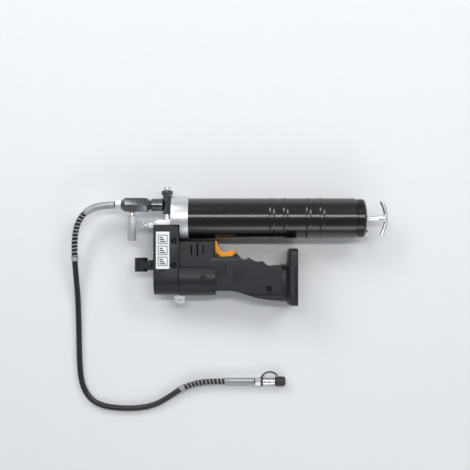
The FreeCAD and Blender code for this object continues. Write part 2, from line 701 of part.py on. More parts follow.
def make_gear_housing():
    """Gear housing in two shells that part on the middle plane."""
    outer = rounded(case_solid(size(0)), d.case_corner, upright_top_edge)
    outer = rounded(outer, d.edge_round, outline_edge)
    shell = cut(outer, cut(case_solid(d.case_wall), *case_bosses()))
    foot = d.cast_half_depth
    openings = (
        rod((-d.seam_left - d.case_wall - 1.0, -d.motor_drop, 0), d.case_radius - d.case_wall,
            d.case_wall + 2.0, "+x"),
        block((-d.cast_foot_left, -d.cast_foot_drop, -foot),
              (-d.cast_foot_right, -d.case_top_drop + 1.0, foot)),
        block((-d.cast_left - 1.0, -d.notch_drop, -foot),
              (-d.notch_depth + 1.0, -d.case_top_drop + 1.0, foot)),
        rod((-d.case_left - 1.0, -d.bleeder_drop, 0), d.bleeder_flats * 0.6, 5.0, "+x"),
        rod((-d.pump_left, -d.cast_foot_drop + 1.0, 0), d.pump_case_radius + 0.1,
            d.pump_case_drop - d.cast_foot_drop + 2.0, "-y"),
        rod((-d.plate_left, -d.motor_drop, 0), d.case_radius - d.case_wall,
            d.plate_left - 6.0, "+x"),
    )
    shell = cut(shell, *openings)
    lug = block((-57.0, -73.0, 0), (-d.case_left + 1.0, -59.0, d.clip_radius - d.clip_strip))
    near = cut(fuse(common(shell, half_space(1)), lug), rod((*CLIP_SCREW, -1.0), 1.5, 20.0, "+z"),
               *screw_pockets(CASE_SCREWS, d.case_radius, d.screw_sink + 2.0))
    node("gear_housing_near", near)
    node("gear_housing_far", cut(common(shell, half_space(-1)), *screw_pilots(CASE_SCREWS, d.shank_reach)))


def upright_top_edge(edge):
    """The two edges along Z at the gear housing's top corners."""
    if not along_axis("+z")(edge):
        return False
    return edge.CenterOfMass.y > float(d.barrel_y - d.motor_drop) + 1.0


def outline_edge(edge):
    """Edges round the near and far faces of the gear housing, above the motor axis."""
    centre = edge.CenterOfMass
    high = abs(abs(centre.z - float(d.middle_z)) - float(d.case_radius)) < 0.01
    return high and centre.y > float(d.barrel_y - d.motor_drop) + 1.0


def screw_pockets(places, surface, depth):
    """Clearance holes with sunk seats for screw heads, from the near side."""
    tools = []
    for x, y in places:
        tools.append(rod((x, y, -1.0), 1.6, 60.0, "+z"))
        tools.append(rod((x, y, surface - depth), d.screw_hole_radius, 20.0, "+z"))
    return tools


def screw_pilots(places, reach):
    """Holes for the screw shanks in the far shell."""
    return [rod((x, y, 1.0), 1.5, reach + 1.5, "-z") for x, y in places]


def screw(x, y, surface, reach):
    """Pan-head screw with a cross recess, its head just under the surface."""
    seat = surface - d.screw_sink - 2.0
    length = seat + reach
    body = turned(
        ((0, 0), (0, 1.5), (length, 1.5), (length, d.screw_head_radius),
         (length + 1.6, d.screw_head_radius - 0.5), (length + 2.3, d.screw_head_radius - 1.6),
         (length + 2.3, 0)),
        (x, y, -reach), "+z",
    )
    cross = fuse(
        block((x - 1.7, y - 0.35, seat + 1.2), (x + 1.7, y + 0.35, seat + 3.0)),
        block((x - 0.35, y - 1.7, seat + 1.2), (x + 0.35, y + 1.7, seat + 3.0)),
    )
    return cut(body, cross)


def make_label():
    """Plain label plate on the gear housing's near face."""
    low = (-44.7, -71.0, d.case_radius)
    high = (-26.1, -19.0, d.case_radius + d.label_thickness)
    node("label", rounded(block(low, high), 1.0, along_axis("+z")))


# ---------------------------------------------------------------- motor housing and grip

def grip_solid(inset):
    """The grip's side outline through its whole depth, trimmed to a bar with rounded edges."""
    wall = float(inset)
    stations = [(x, top + wall, bottom - wall) for x, top, bottom in GRIP_STATIONS]
    if wall:
        stations[0] = (stations[0][0] + 1.0, *stations[0][1:])
        stations[-1] = (stations[-1][0] + 1.0, *stations[-1][1:])
    corners = [point(x, -top, -40.0) for x, top, bottom in stations]
    corners += [point(x, -bottom, -40.0) for x, top, bottom in reversed(stations)]
    outline = coded(polygon_face(corners).extrude(FreeCAD.Vector(0, 0, 80.0)), "GripOutline")
    half = d.grip_half_depth - inset
    bar = rounded(
        block((stations[0][0] - 1.0, -GRIP_BAR_BOTTOM + inset, -half),
              (stations[-1][0] + 1.0, -GRIP_BAR_TOP - inset, half)),
        d.grip_round - inset, along_axis("+x"),
    )
    return common(outline, bar)


def motor_block(inset):
    """Flat-sided block over the motor."""
    half = d.block_half_depth - inset
    return block((-d.seam_left, -d.motor_drop, -half),
                 (d.block_right - inset, -d.block_top_drop - inset, half))


def block_outer_edge(edge):
    """Edges of the motor block that show: its top and rear outlines."""
    centre = edge.CenterOfMass
    front = float(d.head_x - d.seam_left) + 1.0
    return centre.x > front and centre.y > float(d.barrel_y - d.motor_drop) + 1.0


def vents():
    """Round air vents in two groups, right through the grip."""
    holes = []
    for x_first, x_step, y_first, y_step in VENT_GROUPS:
        for column in range(VENT_COLUMNS):
            for row in range(VENT_ROWS):
                x = x_first + x_step * column
                y = -(y_first + y_step * row)
                holes.append(rod((x, y, -30.0), d.vent_radius, 60.0, "+z"))
    return group(*holes)


def cooling_slots():
    """Upright cooling slots in both faces of the motor block."""
    half = d.slot_width / 2
    depth = d.block_half_depth
    slots = []
    for x, top, bottom in COOLING_SLOTS:
        for low in (-depth - 1.0, depth - d.grip_wall - 1.0):
            slots.append(block((x - half, -bottom, low),
                               (x + half, -top, low + d.grip_wall + 2.0)))
    return group(*slots)


def make_grip():
    """Motor housing and grip in two shells that part on the middle plane."""
    wall = d.grip_wall
    length = d.motor_case_right + d.seam_left
    outside = (
        rod((-d.seam_left, -d.motor_drop, 0), d.motor_case_radius, length, "+x"),
        rounded(motor_block(size(0)), d.block_round, block_outer_edge),
        grip_solid(size(0)),
    )
    inside = (
        rod((-d.seam_left - 1.0, -d.motor_drop, 0), d.motor_case_radius - wall,
            length - wall + 1.0, "+x"),
        motor_block(wall),
        grip_solid(wall),
    )
    bosses = [rod((x, y, -30.0), d.screw_boss_radius, 60.0, "+z") for x, y in GRIP_SCREWS[1:]]
    gap = d.trigger_gap
    trigger_opening = block(
        (d.block_right + 0.2, -d.trigger_foot - 2.0, -d.trigger_half_depth - gap),
        (d.trigger_right + gap, -d.block_top_drop - 6.0, d.trigger_half_depth + gap),
    )
    air_vents = vents()
    slots = cooling_slots()
    for side, label in ((1, "near"), (-1, "far")):
        half = half_space(side)
        outer = fuse(*[common(piece, half) for piece in outside])
        hollow = fuse(*[common(piece, half) for piece in inside])
        shell = cut(outer, cut(hollow, *bosses))
        for opening in (air_vents, slots, trigger_opening):
            shell = cut(shell, opening)
        if side > 0:
            motor_screw, grip_screw = GRIP_SCREWS
            shell = cut(
                shell,
                *screw_pockets((motor_screw,), d.motor_case_radius, d.motor_screw_sink),
                *screw_pockets((grip_screw,), d.grip_half_depth, d.screw_sink + 2.0),
            )
        else:
            shell = cut(shell, *screw_pilots(GRIP_SCREWS[1:], 11.0))
        node(f"handle_shell_{label}", shell)


def make_screws():
    """The housing screws that show on the near side."""
    places = [(x, y, d.case_radius, d.shank_reach) for x, y in CASE_SCREWS]
    places.append((*GRIP_SCREWS[1], d.grip_half_depth, size(11.0)))
    x, y = GRIP_SCREWS[0]
    motor_screw = turned(
        ((0, 0), (0, 1.4), (3.8, 1.4), (3.8, 3.6), (4.9, 3.1), (5.4, 2.0), (5.4, 0)),
        (x, y, d.motor_case_radius - d.motor_screw_sink - 3.8), "+z",
    )
    x, y = CLIP_SCREW
    clip_screw = cut(
        turned(((0, 0), (0, 1.5), (6.2, 1.5), (6.2, 2.9), (7.4, 2.5), (8.0, 1.4), (8.0, 0)),
               (x, y, d.clip_radius - 6.2), "+z"),
        block((x - 1.5, y - 0.3, d.clip_radius + 0.9), (x + 1.5, y + 0.3, d.clip_radius + 3.0)),
    )
    screws = [screw(*spot) for spot in places]
    node("housing_screws", group(*screws, motor_screw, clip_screw))


def dock_section(x, top, bottom, half_depth, power):
    """Closed section of the dock's flare."""
    middle = -(top + bottom) / 2
    spots = []
    for step in range(SECTION_POINTS):
        angle = 2 * math.pi * (step + 0.5) / SECTION_POINTS
        across, up = math.cos(angle), math.sin(angle)
        spots.append(point(
            x,
            middle + (bottom - top) / 2 * math.copysign(abs(up) ** (2 / power), up),
            half_depth * math.copysign(abs(across) ** (2 / power), across),
        ))
    curve = Part.BSplineCurve()
    curve.interpolate(Points=spots, PeriodicFlag=True)
    return Part.Wire([curve.toShape()])


def make_dock():
    """Battery dock: a flared flange with rails, a recess and a terminal block."""
    x, top, bottom = GRIP_STATIONS[-1]
    depth = float(d.grip_half_depth)
    half = float(d.middle_z)
    flange_top = float(d.flange_top_drop)
    flange_bottom = float(d.flange_bottom_drop)
    stand = float(d.ring_stand)
    flare = Part.makeLoft([
        dock_section(float(d.grip_end), top - stand, bottom + stand, depth + stand, 2.6),
        dock_section(float(d.grip_end + d.ring_length), top - stand, bottom + stand,
                     depth + stand, 2.7),
        dock_section(140.2, flange_top + 6.0, flange_bottom - 1.2, half - 5.0, 3.4),
        dock_section(float(d.flange_left) + 0.6, flange_top + 0.8, flange_bottom - 0.5,
                     half - 1.4, 5.0),
    ], True, False)
    flange = rounded(
        block((d.flange_left, -d.flange_bottom_drop, -d.middle_z),
              (d.flange_right, -d.flange_top_drop, d.middle_z)),
        d.flange_corner, along_axis("+x"),
    )
    recess_left = d.flange_right - d.dock_recess_depth
    side = d.middle_z - d.rail_depth
    rail_slots = [
        block((d.rail_left, -d.rail_bottom_drop, low), (d.rail_right, -d.rail_top_drop, high))
        for low, high in ((side, d.middle_z + 1.0), (-d.middle_z - 1.0, -side))
    ]
    dock = cut(
        fuse(coded(flare, "Flare"), flange),
        block((recess_left, -d.flange_bottom_drop - 1.0, -d.dock_half_width),
              (d.flange_right + 1.0, -d.dock_recess_top, d.dock_half_width)),
        *rail_slots,
    )
    node("battery_dock", dock)
    rails = [
        block((d.rail_left, -d.rail_bottom_drop, low),
              (d.rail_right, -d.rail_top_drop, low + d.rail_thickness))
        for low in (side, -side - d.rail_thickness)
    ]
    node("dock_rails", group(*rails))
    terminal_left = recess_left - 0.0
    node("terminal_block", block((terminal_left, -80.0, -13.0), (terminal_left + 2.4, -62.0, 13.0)))
    blades = [
        block((terminal_left + 2.4, -78.0, z - 0.5), (terminal_left + 4.8, -66.0, z + 0.5))
        for z in (-9.0, 0.0, 9.0)
    ]
    node("dock_terminals", group(*blades))


def make_trigger():
    """Trigger with its return spring and the switch behind it."""
    depth = float(d.trigger_half_depth)
    left = float(d.trigger_left)
    right = float(d.trigger_right)
    foot = -float(d.trigger_foot)
    hollow = Part.Arc(point(41.4, -38.0, -depth), point(47.6, -46.2, -depth),
                      point(58.6, -46.2, -depth))
    lines = [
        (point(58.6, -46.2, -depth), point(63.4, -43.6, -depth)),
        (point(63.4, -43.6, -depth), point(right, -43.6, -depth)),
        (point(right, -43.6, -depth), point(right, foot, -depth)),
        (point(right, foot, -depth), point(44.0, foot, -depth)),
        (point(44.0, foot, -depth), point(44.0, -54.0, -depth)),
        (point(44.0, -54.0, -depth), point(left, -48.0, -depth)),
        (point(left, -48.0, -depth), point(left, -32.6, -depth)),
        (point(left, -32.6, -depth), point(39.6, -31.8, -depth)),
        (point(39.6, -31.8, -depth), point(41.4, -38.0, -depth)),
    ]
    edges = [hollow.toShape()] + [Part.LineSegment(a, b).toShape() for a, b in lines]
    face = Part.Face(Part.Wire(edges))
    blank = coded(face.extrude(FreeCAD.Vector(0, 0, 2 * depth)), "TriggerBlank")

    def visible_rim(edge):
        centre = edge.CenterOfMass
        flat = abs(abs(centre.z - float(d.middle_z)) - depth) < 0.01
        return flat and centre.y > float(d.barrel_y) - 54.0
    node("trigger", rounded(blank, 1.4, visible_rim))
    spring_length = float(d.switch_top_drop - d.trigger_foot) - 1.2
    node("trigger_spring", coil((58.0, -float(d.switch_top_drop) + 0.6, 0), "+y", 3.2, 0.5,
                                spring_length, 3))
    node("switch_body", block(
        (45.0, -d.switch_top_drop - d.switch_size, -d.switch_size / 2),
        (66.0, -d.switch_top_drop, d.switch_size / 2),
    ))


# ---------------------------------------------------------------- gear train and motor

def gear_points(teeth, tip_radius, root_radius, play, phase):
    """Corners of an involute gear about the X axis; phase is the first tooth's angle."""
    module = float(d.gear_module)
    pressure = math.radians(float(d.pressure_angle))
    pitch_radius = module * teeth / 2
    base_radius = pitch_radius * math.cos(pressure)
    involute = math.tan(pressure) - pressure
    half_pitch_tooth = math.pi / (2 * teeth) - play / pitch_radius
    steps = 4
    start = max(base_radius, root_radius)
    flank = []
    if root_radius < base_radius:
        flank.append((root_radius, half_pitch_tooth + involute))
    for step in range(steps + 1):
        radius = start + (tip_radius - start) * step / steps
        angle = math.acos(min(1.0, base_radius / radius))
        flank.append((radius, half_pitch_tooth + involute - (math.tan(angle) - angle)))
    spots = []
    for tooth in range(teeth):
        middle = phase + 2 * math.pi * tooth / teeth
        for radius, half in flank:
            spots.append((radius, middle - half))
        for radius, half in reversed(flank):
            spots.append((radius, middle + half))
    return spots


def gear_blank(spots, x, width, centre_y=0.0, centre_z=0.0):
    """Solid with a toothed outline, from its left face at x."""
    middle_y = -float(d.motor_drop) + centre_y
    corners = [
        point(x, middle_y + radius * math.cos(angle), centre_z + radius * math.sin(angle))
        for radius, angle in spots
    ]
    face = Part.Face(Part.makePolygon(corners + [corners[0]]))
    return face.extrude(FreeCAD.Vector(width, 0, 0))


def make_gears():
    """Ring gear, three planets on their carrier with the crank pin, and the bearing plate."""
    module = float(d.gear_module)
    sun = int(float(d.sun_teeth))
    planet = int(float(d.planet_teeth))
    ring = sun + 2 * planet
    play = float(d.tooth_play)
    addendum = 0.8 * module
    dedendum = 1.1 * module
    left = -float(d.gear_left)
    width = float(d.gear_width)
    planet_radius = module * planet / 2
    ring_radius = module * ring / 2
    centres = module * (sun + planet) / 2

    spaces = gear_points(ring, ring_radius + dedendum, ring_radius - addendum, -play,
                         math.pi / ring)
    blank = rod((-d.gear_left - 0.6, -d.motor_drop, 0), d.ring_gear_radius, d.gear_width + 2.4, "+x")
    node("ring_gear", cut(blank, coded(gear_blank(spaces, left - 2.0, width + 6.0), "RingSpaces")))

    bore = d.pin_radius + d.running_clearance
    pins = []
    for number in range(3):
        angle = 2 * math.pi * number / 3
        y, z = centres * math.cos(angle), centres * math.sin(angle)
        teeth = gear_points(planet, planet_radius + addendum, planet_radius - dedendum, play,
                            angle + math.pi / planet)
        gear = coded(gear_blank(teeth, left, width, y, z), "PlanetBlank")
        at = (-d.gear_left - 1.0, -d.motor_drop + y, z)
        node(f"planet_gear_{number + 1}", cut(gear, rod(at, bore, d.gear_width + 3.0, "+x")))
        pins.append(rod((-d.gear_left - 2.0, -d.motor_drop + y, z), d.pin_radius,
                        d.gear_width + 2.2, "+x"))

    disc_left = -d.gear_left - d.carrier_thickness - 0.3
    hub_left = -d.plate_left - 0.6
    pin_tip = -d.pump_left + d.yoke_thickness / 2 + d.open_gap
    crank = rod((pin_tip, -d.motor_drop, d.crank_throw), d.crank_pin_radius,
                hub_left - pin_tip + 1.0, "+x")
    disc = rod((disc_left, -d.motor_drop, 0), d.carrier_radius, d.carrier_thickness, "+x")
    hub = rod((hub_left, -d.motor_drop, 0), d.hub_radius + 0.5, disc_left - hub_left + 0.5, "+x")
    node("planet_carrier", fuse(disc, hub, crank, *pins))
    node("bearing_plate", tube(
        (-d.plate_left, -d.motor_drop, 0), d.case_radius - d.case_wall,
        d.hub_radius + 0.5 + d.running_clearance, d.gear_plate_thickness, "+x",
    ))


def make_motor():
    """Direct-current motor: shaft with its pinion, armature, magnets, can, end cap, brushes, fan."""
    module = float(d.gear_module)
    sun = int(float(d.sun_teeth))
    pitch_radius = module * sun / 2
    drop = -d.motor_drop
    left = -float(d.gear_left)
    teeth = gear_points(sun, pitch_radius + 0.8 * module, pitch_radius - 1.1 * module,
                        float(d.tooth_play), 0.0)
    pinion = coded(gear_blank(teeth, left + 0.3, float(d.gear_width) + 2.0), "Pinion")
    node("motor_shaft", fuse(
        pinion,
        rod((left + 1.0, drop, 0), d.shaft_radius, d.shaft_end - left - 1.0, "+x"),
    ))
    can_left = -d.can_left
    clear = d.running_clearance
    node("motor_can", cut(
        rod((can_left, drop, 0), d.can_radius, d.can_right - can_left, "+x"),
        rod((can_left + d.can_wall, drop, 0), d.can_radius - d.can_wall, 60.0, "+x"),
        rod((can_left - 1.0, drop, 0), d.shaft_radius + clear, 6.0, "+x"),
        *[rod((can_left - 1.0, drop + 10.5 * math.cos(a), 10.5 * math.sin(a)), 2.2, 6.0, "+x")
          for a in (0.5, 2.1, 3.6, 5.2)],
    ))
    inner = d.can_radius - d.can_wall
    ring = tube((4.0, drop, 0), inner, inner - d.magnet_thickness, 23.0, "+x")
    gaps = block((3.0, drop - 30.0, -4.5), (28.0, drop + 30.0, 4.5))
    node("motor_magnets", cut(ring, gaps))
    winding = float(d.winding_centre)
    slots = []
    for number in range(5):
        angle = 2 * math.pi * number / 5
        y, z = winding * math.cos(angle), winding * math.sin(angle)
        slots.append(rod((5.0, drop + y, z), 2.6, 22.0, "+x"))
    stack = cut(rod((6.0, drop, 0), d.armature_radius, 19.0, "+x"),
                rod((5.0, drop, 0), d.shaft_radius, 21.0, "+x"), *slots)
    windings = [
        rod((6.5, drop + winding * math.cos(angle), winding * math.sin(angle)), 2.4, 18.0, "+x")
        for angle in [2 * math.pi * number / 5 for number in range(5)]
    ]
    commutator = tube((26.5, drop, 0), d.commutator_radius, d.shaft_radius, 5.6, "+x")
    node("armature", group(stack, commutator, *windings))
    blades = []
    for number in range(6):
        angle = 60.0 * number
        blade = block((-1.6, drop - 0.5, 3.0), (2.4, drop + 0.5, 14.5))
        turn = document.addObject("Part::Feature", "FanBlade")
        document.recompute()
        shape = blade.Shape.copy()
        shape.rotate(point(0, drop), UNIT_AXES["+x"], angle)
        turn.Shape = shape
        blades.append(turn)
    hub = tube((-1.8, drop, 0), 4.5, d.shaft_radius, 4.4, "+x")
    node("motor_fan", fuse(hub, *blades))
    brush_radius = d.commutator_radius + 0.15
    brushes = [
        block((27.5, drop - 1.6, low), (31.5, drop + 1.6, high))
        for low, high in ((brush_radius + 0.2, 11.5), (-11.5, -brush_radius - 0.2))
    ]
    holders = block((27.5, drop - 1.6, -11.5), (31.5, drop + 1.6, 11.5))
    end_cap = cut(
        rod((d.can_right, drop, 0), d.can_radius, 6.0, "+x"),
        rod((d.can_right - 1.0, drop, 0), 12.5, 4.0, "+x"),
        rod((d.can_right - 1.0, drop, 0), d.shaft_radius + clear, 20.0, "+x"),
        holders,
    )
    node("motor_brush_end", group(end_cap, *brushes))


# ---------------------------------------------------------------- fixings

def make_clip_and_eye():
    """Hose clip with its screw, and the strap eye."""
    centre = -d.clip_centre
    height = d.clip_bottom_drop - d.clip_top_drop
    outer = d.clip_radius
    inner = outer - d.clip_strip
    ring = tube((centre, -d.clip_bottom_drop, 0), outer, inner, height, "+y")
    mouth = block((centre - 12.0, -d.clip_bottom_drop - 1.0, -7.0),
                  (centre - 3.0, -d.clip_top_drop + 1.0, 1.5))
    tang = block((centre, -71.5, inner), (-d.clip_tang_right, -61.0, outer))
    clip = cut(fuse(cut(ring, mouth), tang), rod((*CLIP_SCREW, 0), 1.6, 20.0, "+z"))
    node("hose_clip", clip)
    half = d.eye_half_thickness
    plate = rounded(
        block((-20.3, -120.7, -half), (-5.7, -109.5, half)), 3.2,
        lambda edge: along_axis("+z")(edge) and edge.CenterOfMass.y < float(d.barrel_y) - 118.0,
    )
    foot = block((-11.5, -109.7, -3.0), (-5.9, -107.6, 3.0))
    eye = cut(fuse(plate, cut(foot, rod((-d.seam_left - 3.0, -d.motor_drop, 0), d.motor_case_radius,
                                        20.0, "+x"))),
              rod((-13.5, -115.7, -5.0), d.eye_hole_radius, 10.0, "+z"))
    node("strap_eye", eye)


# ---------------------------------------------------------------- hose

def route_points():
    """The hose's route in this document's frame."""
    x0, y0 = float(d.head_x), float(d.barrel_y)
    return [FreeCAD.Vector(x0 + x, y0 + y, z) for x, y, z in HOSE_ROUTE]


def route_wire(spots, show=False):
    """Straight runs joined by tangent arcs, each arc as large as its runs allow."""
    edges = []
    here = spots[0]
    for before, corner, after in zip(spots, spots[1:], spots[2:]):
        back = (before - corner).normalize()
        forth = (after - corner).normalize()
        turn = math.pi - back.getAngle(forth)
        shorter = min((before - corner).Length, (after - corner).Length)
        trim = 0.45 * shorter
        radius = trim / math.tan(turn / 2)
        if show:
            print(f"arc radius {radius:.1f}")
        start = corner + back * trim
        end = corner + forth * trim
        towards = (back + forth).normalize()
        reach = math.hypot(trim, radius)
        middle = corner + towards * (reach - radius)
        edges.append(Part.LineSegment(here, start).toShape())
        edges.append(Part.Arc(start, middle, end).toShape())
        here = end
    edges.append(Part.LineSegment(here, spots[-1]).toShape())
    return Part.Wire(edges)


def pipe(wire, radius):
    """Round tube along a wire."""
    first = wire.Edges[0]
    start = first.valueAt(first.FirstParameter)
    section = Part.Wire([Part.makeCircle(
        float(radius), start, first.tangentAt(first.FirstParameter)
    )])
    return wire.makePipeShell([section], True, False)


def make_hose(block_left):
    """High-pressure hose with its end nuts, spring guards, coupler, dust cap and tether."""
    spots = route_points()
    whole = route_wire(spots, show=True)
    hose = pipe(whole, d.hose_radius)
    print(f"hose length {whole.Length:.1f}, volume ratio "
          f"{hose.Volume / (math.pi * float(d.hose_radius) ** 2 * whole.Length):.4f}")
    node("hose", coded(hose, "Hose"))
    cores = d.hose_radius + d.guard_clearance
    stretches = (
        ("hose_guard_gun", spots[:GUN_GUARD_POINTS + 1]),
        ("hose_guard_coupler", spots[-COUPLER_GUARD_POINTS - 1:]),
    )
    for label, stretch in stretches:
        wire = route_wire(stretch)
        sleeve = cut(coded(pipe(wire, d.guard_radius), "GuardOuter"),
                     coded(pipe(wire, cores), "GuardInner"))
        node(label, sleeve)

    nut_right = block_left
    flats = d.hose_nut_flats
    node("hose_nut", cut(
        common(
            hexagon((nut_right, d.outlet_rise + 0.2, 0), flats, d.hose_nut_length, "-x"),
            turned(((0, 0), (0, flats / 2), (1.2, flats * 0.575),
                    (d.hose_nut_length - 1.4, flats * 0.575),
                    (d.hose_nut_length, flats / 2 - 0.4), (d.hose_nut_length, 0)),
                   (nut_right, d.outlet_rise + 0.2, 0), "-x"),
        ),
        rod((nut_right + 1.0, d.outlet_rise + 0.2, 0), d.flow_radius, 12.0, "-x"),
    ))

    lie = 7.0 - d.middle_z
    start = 94.6
    nut_end = start + d.coupler_nut_length
    node("coupler_nut", common(
        hexagon((start, -235.0, lie), 12.6, d.coupler_nut_length, "+x"),
        turned(((0, 0), (0, 6.0), (1.2, 7.2), (d.coupler_nut_length - 1.2, 7.2),
                (d.coupler_nut_length, 6.0), (d.coupler_nut_length, 0)),
               (start, -235.0, lie), "+x"),
    ))
    radius = d.coupler_radius
    length = d.coupler_length
    node("coupler_body", turned(
        ((0, 0), (0, radius - 1.4), (2.6, radius - 1.4), (3.2, radius), (12.0, radius),
         (13.0, radius - 0.8), (length - 4.0, radius - 0.8), (length, radius - 2.2),
         (length, 2.6), (length - 12.0, 2.6), (length - 12.0, 0)),
        (nut_end, -235.0, lie), "+x",
    ))
    jaw_start = nut_end + length - 9.0
    jaws = cut(
        tube((jaw_start, -235.0, lie), 2.6, 1.5, 9.0, "+x"),
        block((jaw_start - 1.0, -235.25, lie - 4.0), (jaw_start + 10.0, -234.75, lie + 4.0)),
        block((jaw_start - 1.0, -239.0, lie - 0.25), (jaw_start + 10.0, -231.0, lie + 0.25)),
    )
    node("coupler_jaws", jaws)
    cap_start = nut_end + length - 3.4
    cap_length = d.dust_cap_length
    cap_radius = d.dust_cap_radius
    node("dust_cap", turned(
        ((0, radius - 0.5), (0, cap_radius - 0.9), (0.9, cap_radius), (cap_length - 1.6, cap_radius),
         (cap_length, cap_radius - 1.6), (cap_length, 0), (4.4, 0), (4.4, radius - 0.5)),
        (cap_start, -235.0, lie), "+x",
    ))
    make_tether(nut_end, cap_start, lie)


def make_tether(ring_x, cap_x, lie):
    """Rubber tether: a ring on the coupler's neck and a strap that ends beside the dust cap."""
    neck = d.coupler_radius - 1.4
    ring = tube((ring_x + 0.3, -235.0, lie), d.coupler_radius + 1.0, neck, 2.0, "+x")
    height = float(lie)
    start = point(float(ring_x) + 1.3, -235.0 + float(d.coupler_radius), height)
    middle = point(float(ring_x + cap_x) / 2 + 1.0, -221.6, height)
    end = point(float(cap_x) + 3.4, -235.0 + float(d.dust_cap_radius) + float(d.tether_radius) + 0.05,
                height)
    wire = Part.Wire([Part.Arc(start, middle, end).toShape()])
    node("cap_tether", fuse(ring, coded(pipe(wire, d.tether_radius), "Strap")))


# ---------------------------------------------------------------- the whole gun

def build():
    """Make every sub-part in turn."""
    make_head()
    make_pump_piston()
    block_left = make_outlet()
    make_relief_valve()
    make_bleeder()
    cap, bushing, cap_end, bushing_end = make_barrel()
    make_cap(cap, bushing, cap_end)
    make_follower(bushing_end)
    make_gear_housing()
    make_label()
    make_grip()
    make_screws()
    make_dock()
    make_trigger()
    make_gears()
    make_motor()
    make_clip_and_eye()
    make_hose(block_left)


def check():
    """Stop if any object failed or any sub-part is not a sound solid."""
    document.recompute()
    for thing in document.Objects:
        if "Invalid" in thing.State or "Error" in thing.State:
            raise RuntimeError(f"{thing.Name} ({thing.Label}) failed: {thing.State}")
    for thing in nodes:
        if thing.Shape.isNull() or not thing.Shape.isValid() or not thing.Shape.Solids:
            raise RuntimeError(f"{thing.Label} is not a sound solid")


def export():
    """Write each sub-part's shape to its own file."""
    os.makedirs("parts", exist_ok=True)
    for thing in nodes:
        thing.Shape.exportStep(f"parts/{thing.Label}.step")
        solids = len(thing.Shape.Solids)
        print(f"{thing.Label}: {solids} solid(s), {thing.Shape.Volume / 1000:.2f} cm3")


build()
check()
export()
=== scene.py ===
"""Looks of a cordless grease gun that lies on its side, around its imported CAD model.

Metres. +X runs along the barrel to its T-handle, +Y from the grip up to the barrel, +Z up.
"""

import json
import math

import bmesh
import bpy
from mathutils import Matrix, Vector


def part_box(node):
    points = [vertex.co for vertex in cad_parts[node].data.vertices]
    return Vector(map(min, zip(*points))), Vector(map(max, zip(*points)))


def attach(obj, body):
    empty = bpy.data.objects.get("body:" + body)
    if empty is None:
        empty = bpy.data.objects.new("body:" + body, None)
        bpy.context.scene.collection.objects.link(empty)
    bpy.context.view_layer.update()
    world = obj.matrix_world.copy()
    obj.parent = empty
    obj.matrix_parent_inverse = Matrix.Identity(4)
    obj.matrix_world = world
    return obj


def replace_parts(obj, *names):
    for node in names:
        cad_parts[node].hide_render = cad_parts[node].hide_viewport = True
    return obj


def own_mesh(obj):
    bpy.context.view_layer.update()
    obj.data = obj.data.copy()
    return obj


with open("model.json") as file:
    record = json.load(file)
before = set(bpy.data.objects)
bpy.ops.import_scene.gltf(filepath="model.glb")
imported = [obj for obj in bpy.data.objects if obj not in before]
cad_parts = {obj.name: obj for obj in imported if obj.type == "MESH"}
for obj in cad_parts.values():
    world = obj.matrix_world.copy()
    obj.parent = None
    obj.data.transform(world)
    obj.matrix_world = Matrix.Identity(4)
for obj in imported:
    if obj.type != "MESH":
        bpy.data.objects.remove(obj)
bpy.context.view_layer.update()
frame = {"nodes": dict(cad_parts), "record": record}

MM = 0.001

# The datum that the CAD part counts from: the rear face of the head's collar on the barrel axis.
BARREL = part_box("barrel_tube")
DATUM_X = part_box("head_casting")[1][0]
DATUM_Y = (BARREL[0][1] + BARREL[1][1]) / 2
MIDDLE_Z = (BARREL[0][2] + BARREL[1][2]) / 2


def at(x, y, z=0.0):
    """A place counted from the datum in millimetres, as a point of the frame in metres."""
    return Vector((DATUM_X + x * MM, DATUM_Y + y * MM, MIDDLE_Z + z * MM))


# ---------------------------------------------------------------- camera

VIEW_CENTRE = (65.5, -23.7)
VIEW_WIDTH = 0.667
CAMERA_HEIGHT = 1.36
SENSOR_WIDTH = 36.0
FAR_CLIP = 20.0


def make_camera():
    """Camera straight above the middle of the view."""
    data = bpy.data.cameras.new("camera")
    data.sensor_width = SENSOR_WIDTH
    data.lens = SENSOR_WIDTH * (CAMERA_HEIGHT - MIDDLE_Z) / VIEW_WIDTH
    data.clip_end = FAR_CLIP
    camera = bpy.data.objects.new("camera", data)
    middle = at(*VIEW_CENTRE)
    camera.location = (middle.x, middle.y, CAMERA_HEIGHT)
    bpy.context.scene.collection.objects.link(camera)
    bpy.context.scene.camera = camera


# ---------------------------------------------------------------- node groups

def new_group(name, inputs, outputs):
    """An empty shader group with named sockets."""
    group = bpy.data.node_groups.new(name, "ShaderNodeTree")
    for label, kind, default in inputs:
        socket = group.interface.new_socket(label, in_out="INPUT", socket_type=kind)
        if default is not None:
            socket.default_value = default
    for label, kind in outputs:
        group.interface.new_socket(label, in_out="OUTPUT", socket_type=kind)
    return group


def node(tree, kind, **settings):
    """A node with some of its properties set."""
    made = tree.nodes.new(kind)
    for name, value in settings.items():
        setattr(made, name, value)
    return made


def noise(tree, vector, scale_socket, detail=4.0, rough=0.6):
    """Noise at a scale that comes from a socket."""
    made = node(tree, "ShaderNodeTexNoise")
    made.inputs["Detail"].default_value = detail
    made.inputs["Roughness"].default_value = rough
    tree.links.new(vector, made.inputs["Vector"])
    tree.links.new(scale_socket, made.inputs["Scale"])
    return made.outputs["Fac"]


def blend_range(tree, fac, low, high):
    """Values between two sockets, mixed by a factor."""
    mix = node(tree, "ShaderNodeMix", data_type="FLOAT")
    tree.links.new(fac, mix.inputs["Factor"])
    tree.links.new(low, mix.inputs["A"])
    tree.links.new(high, mix.inputs["B"])
    return mix.outputs["Result"]


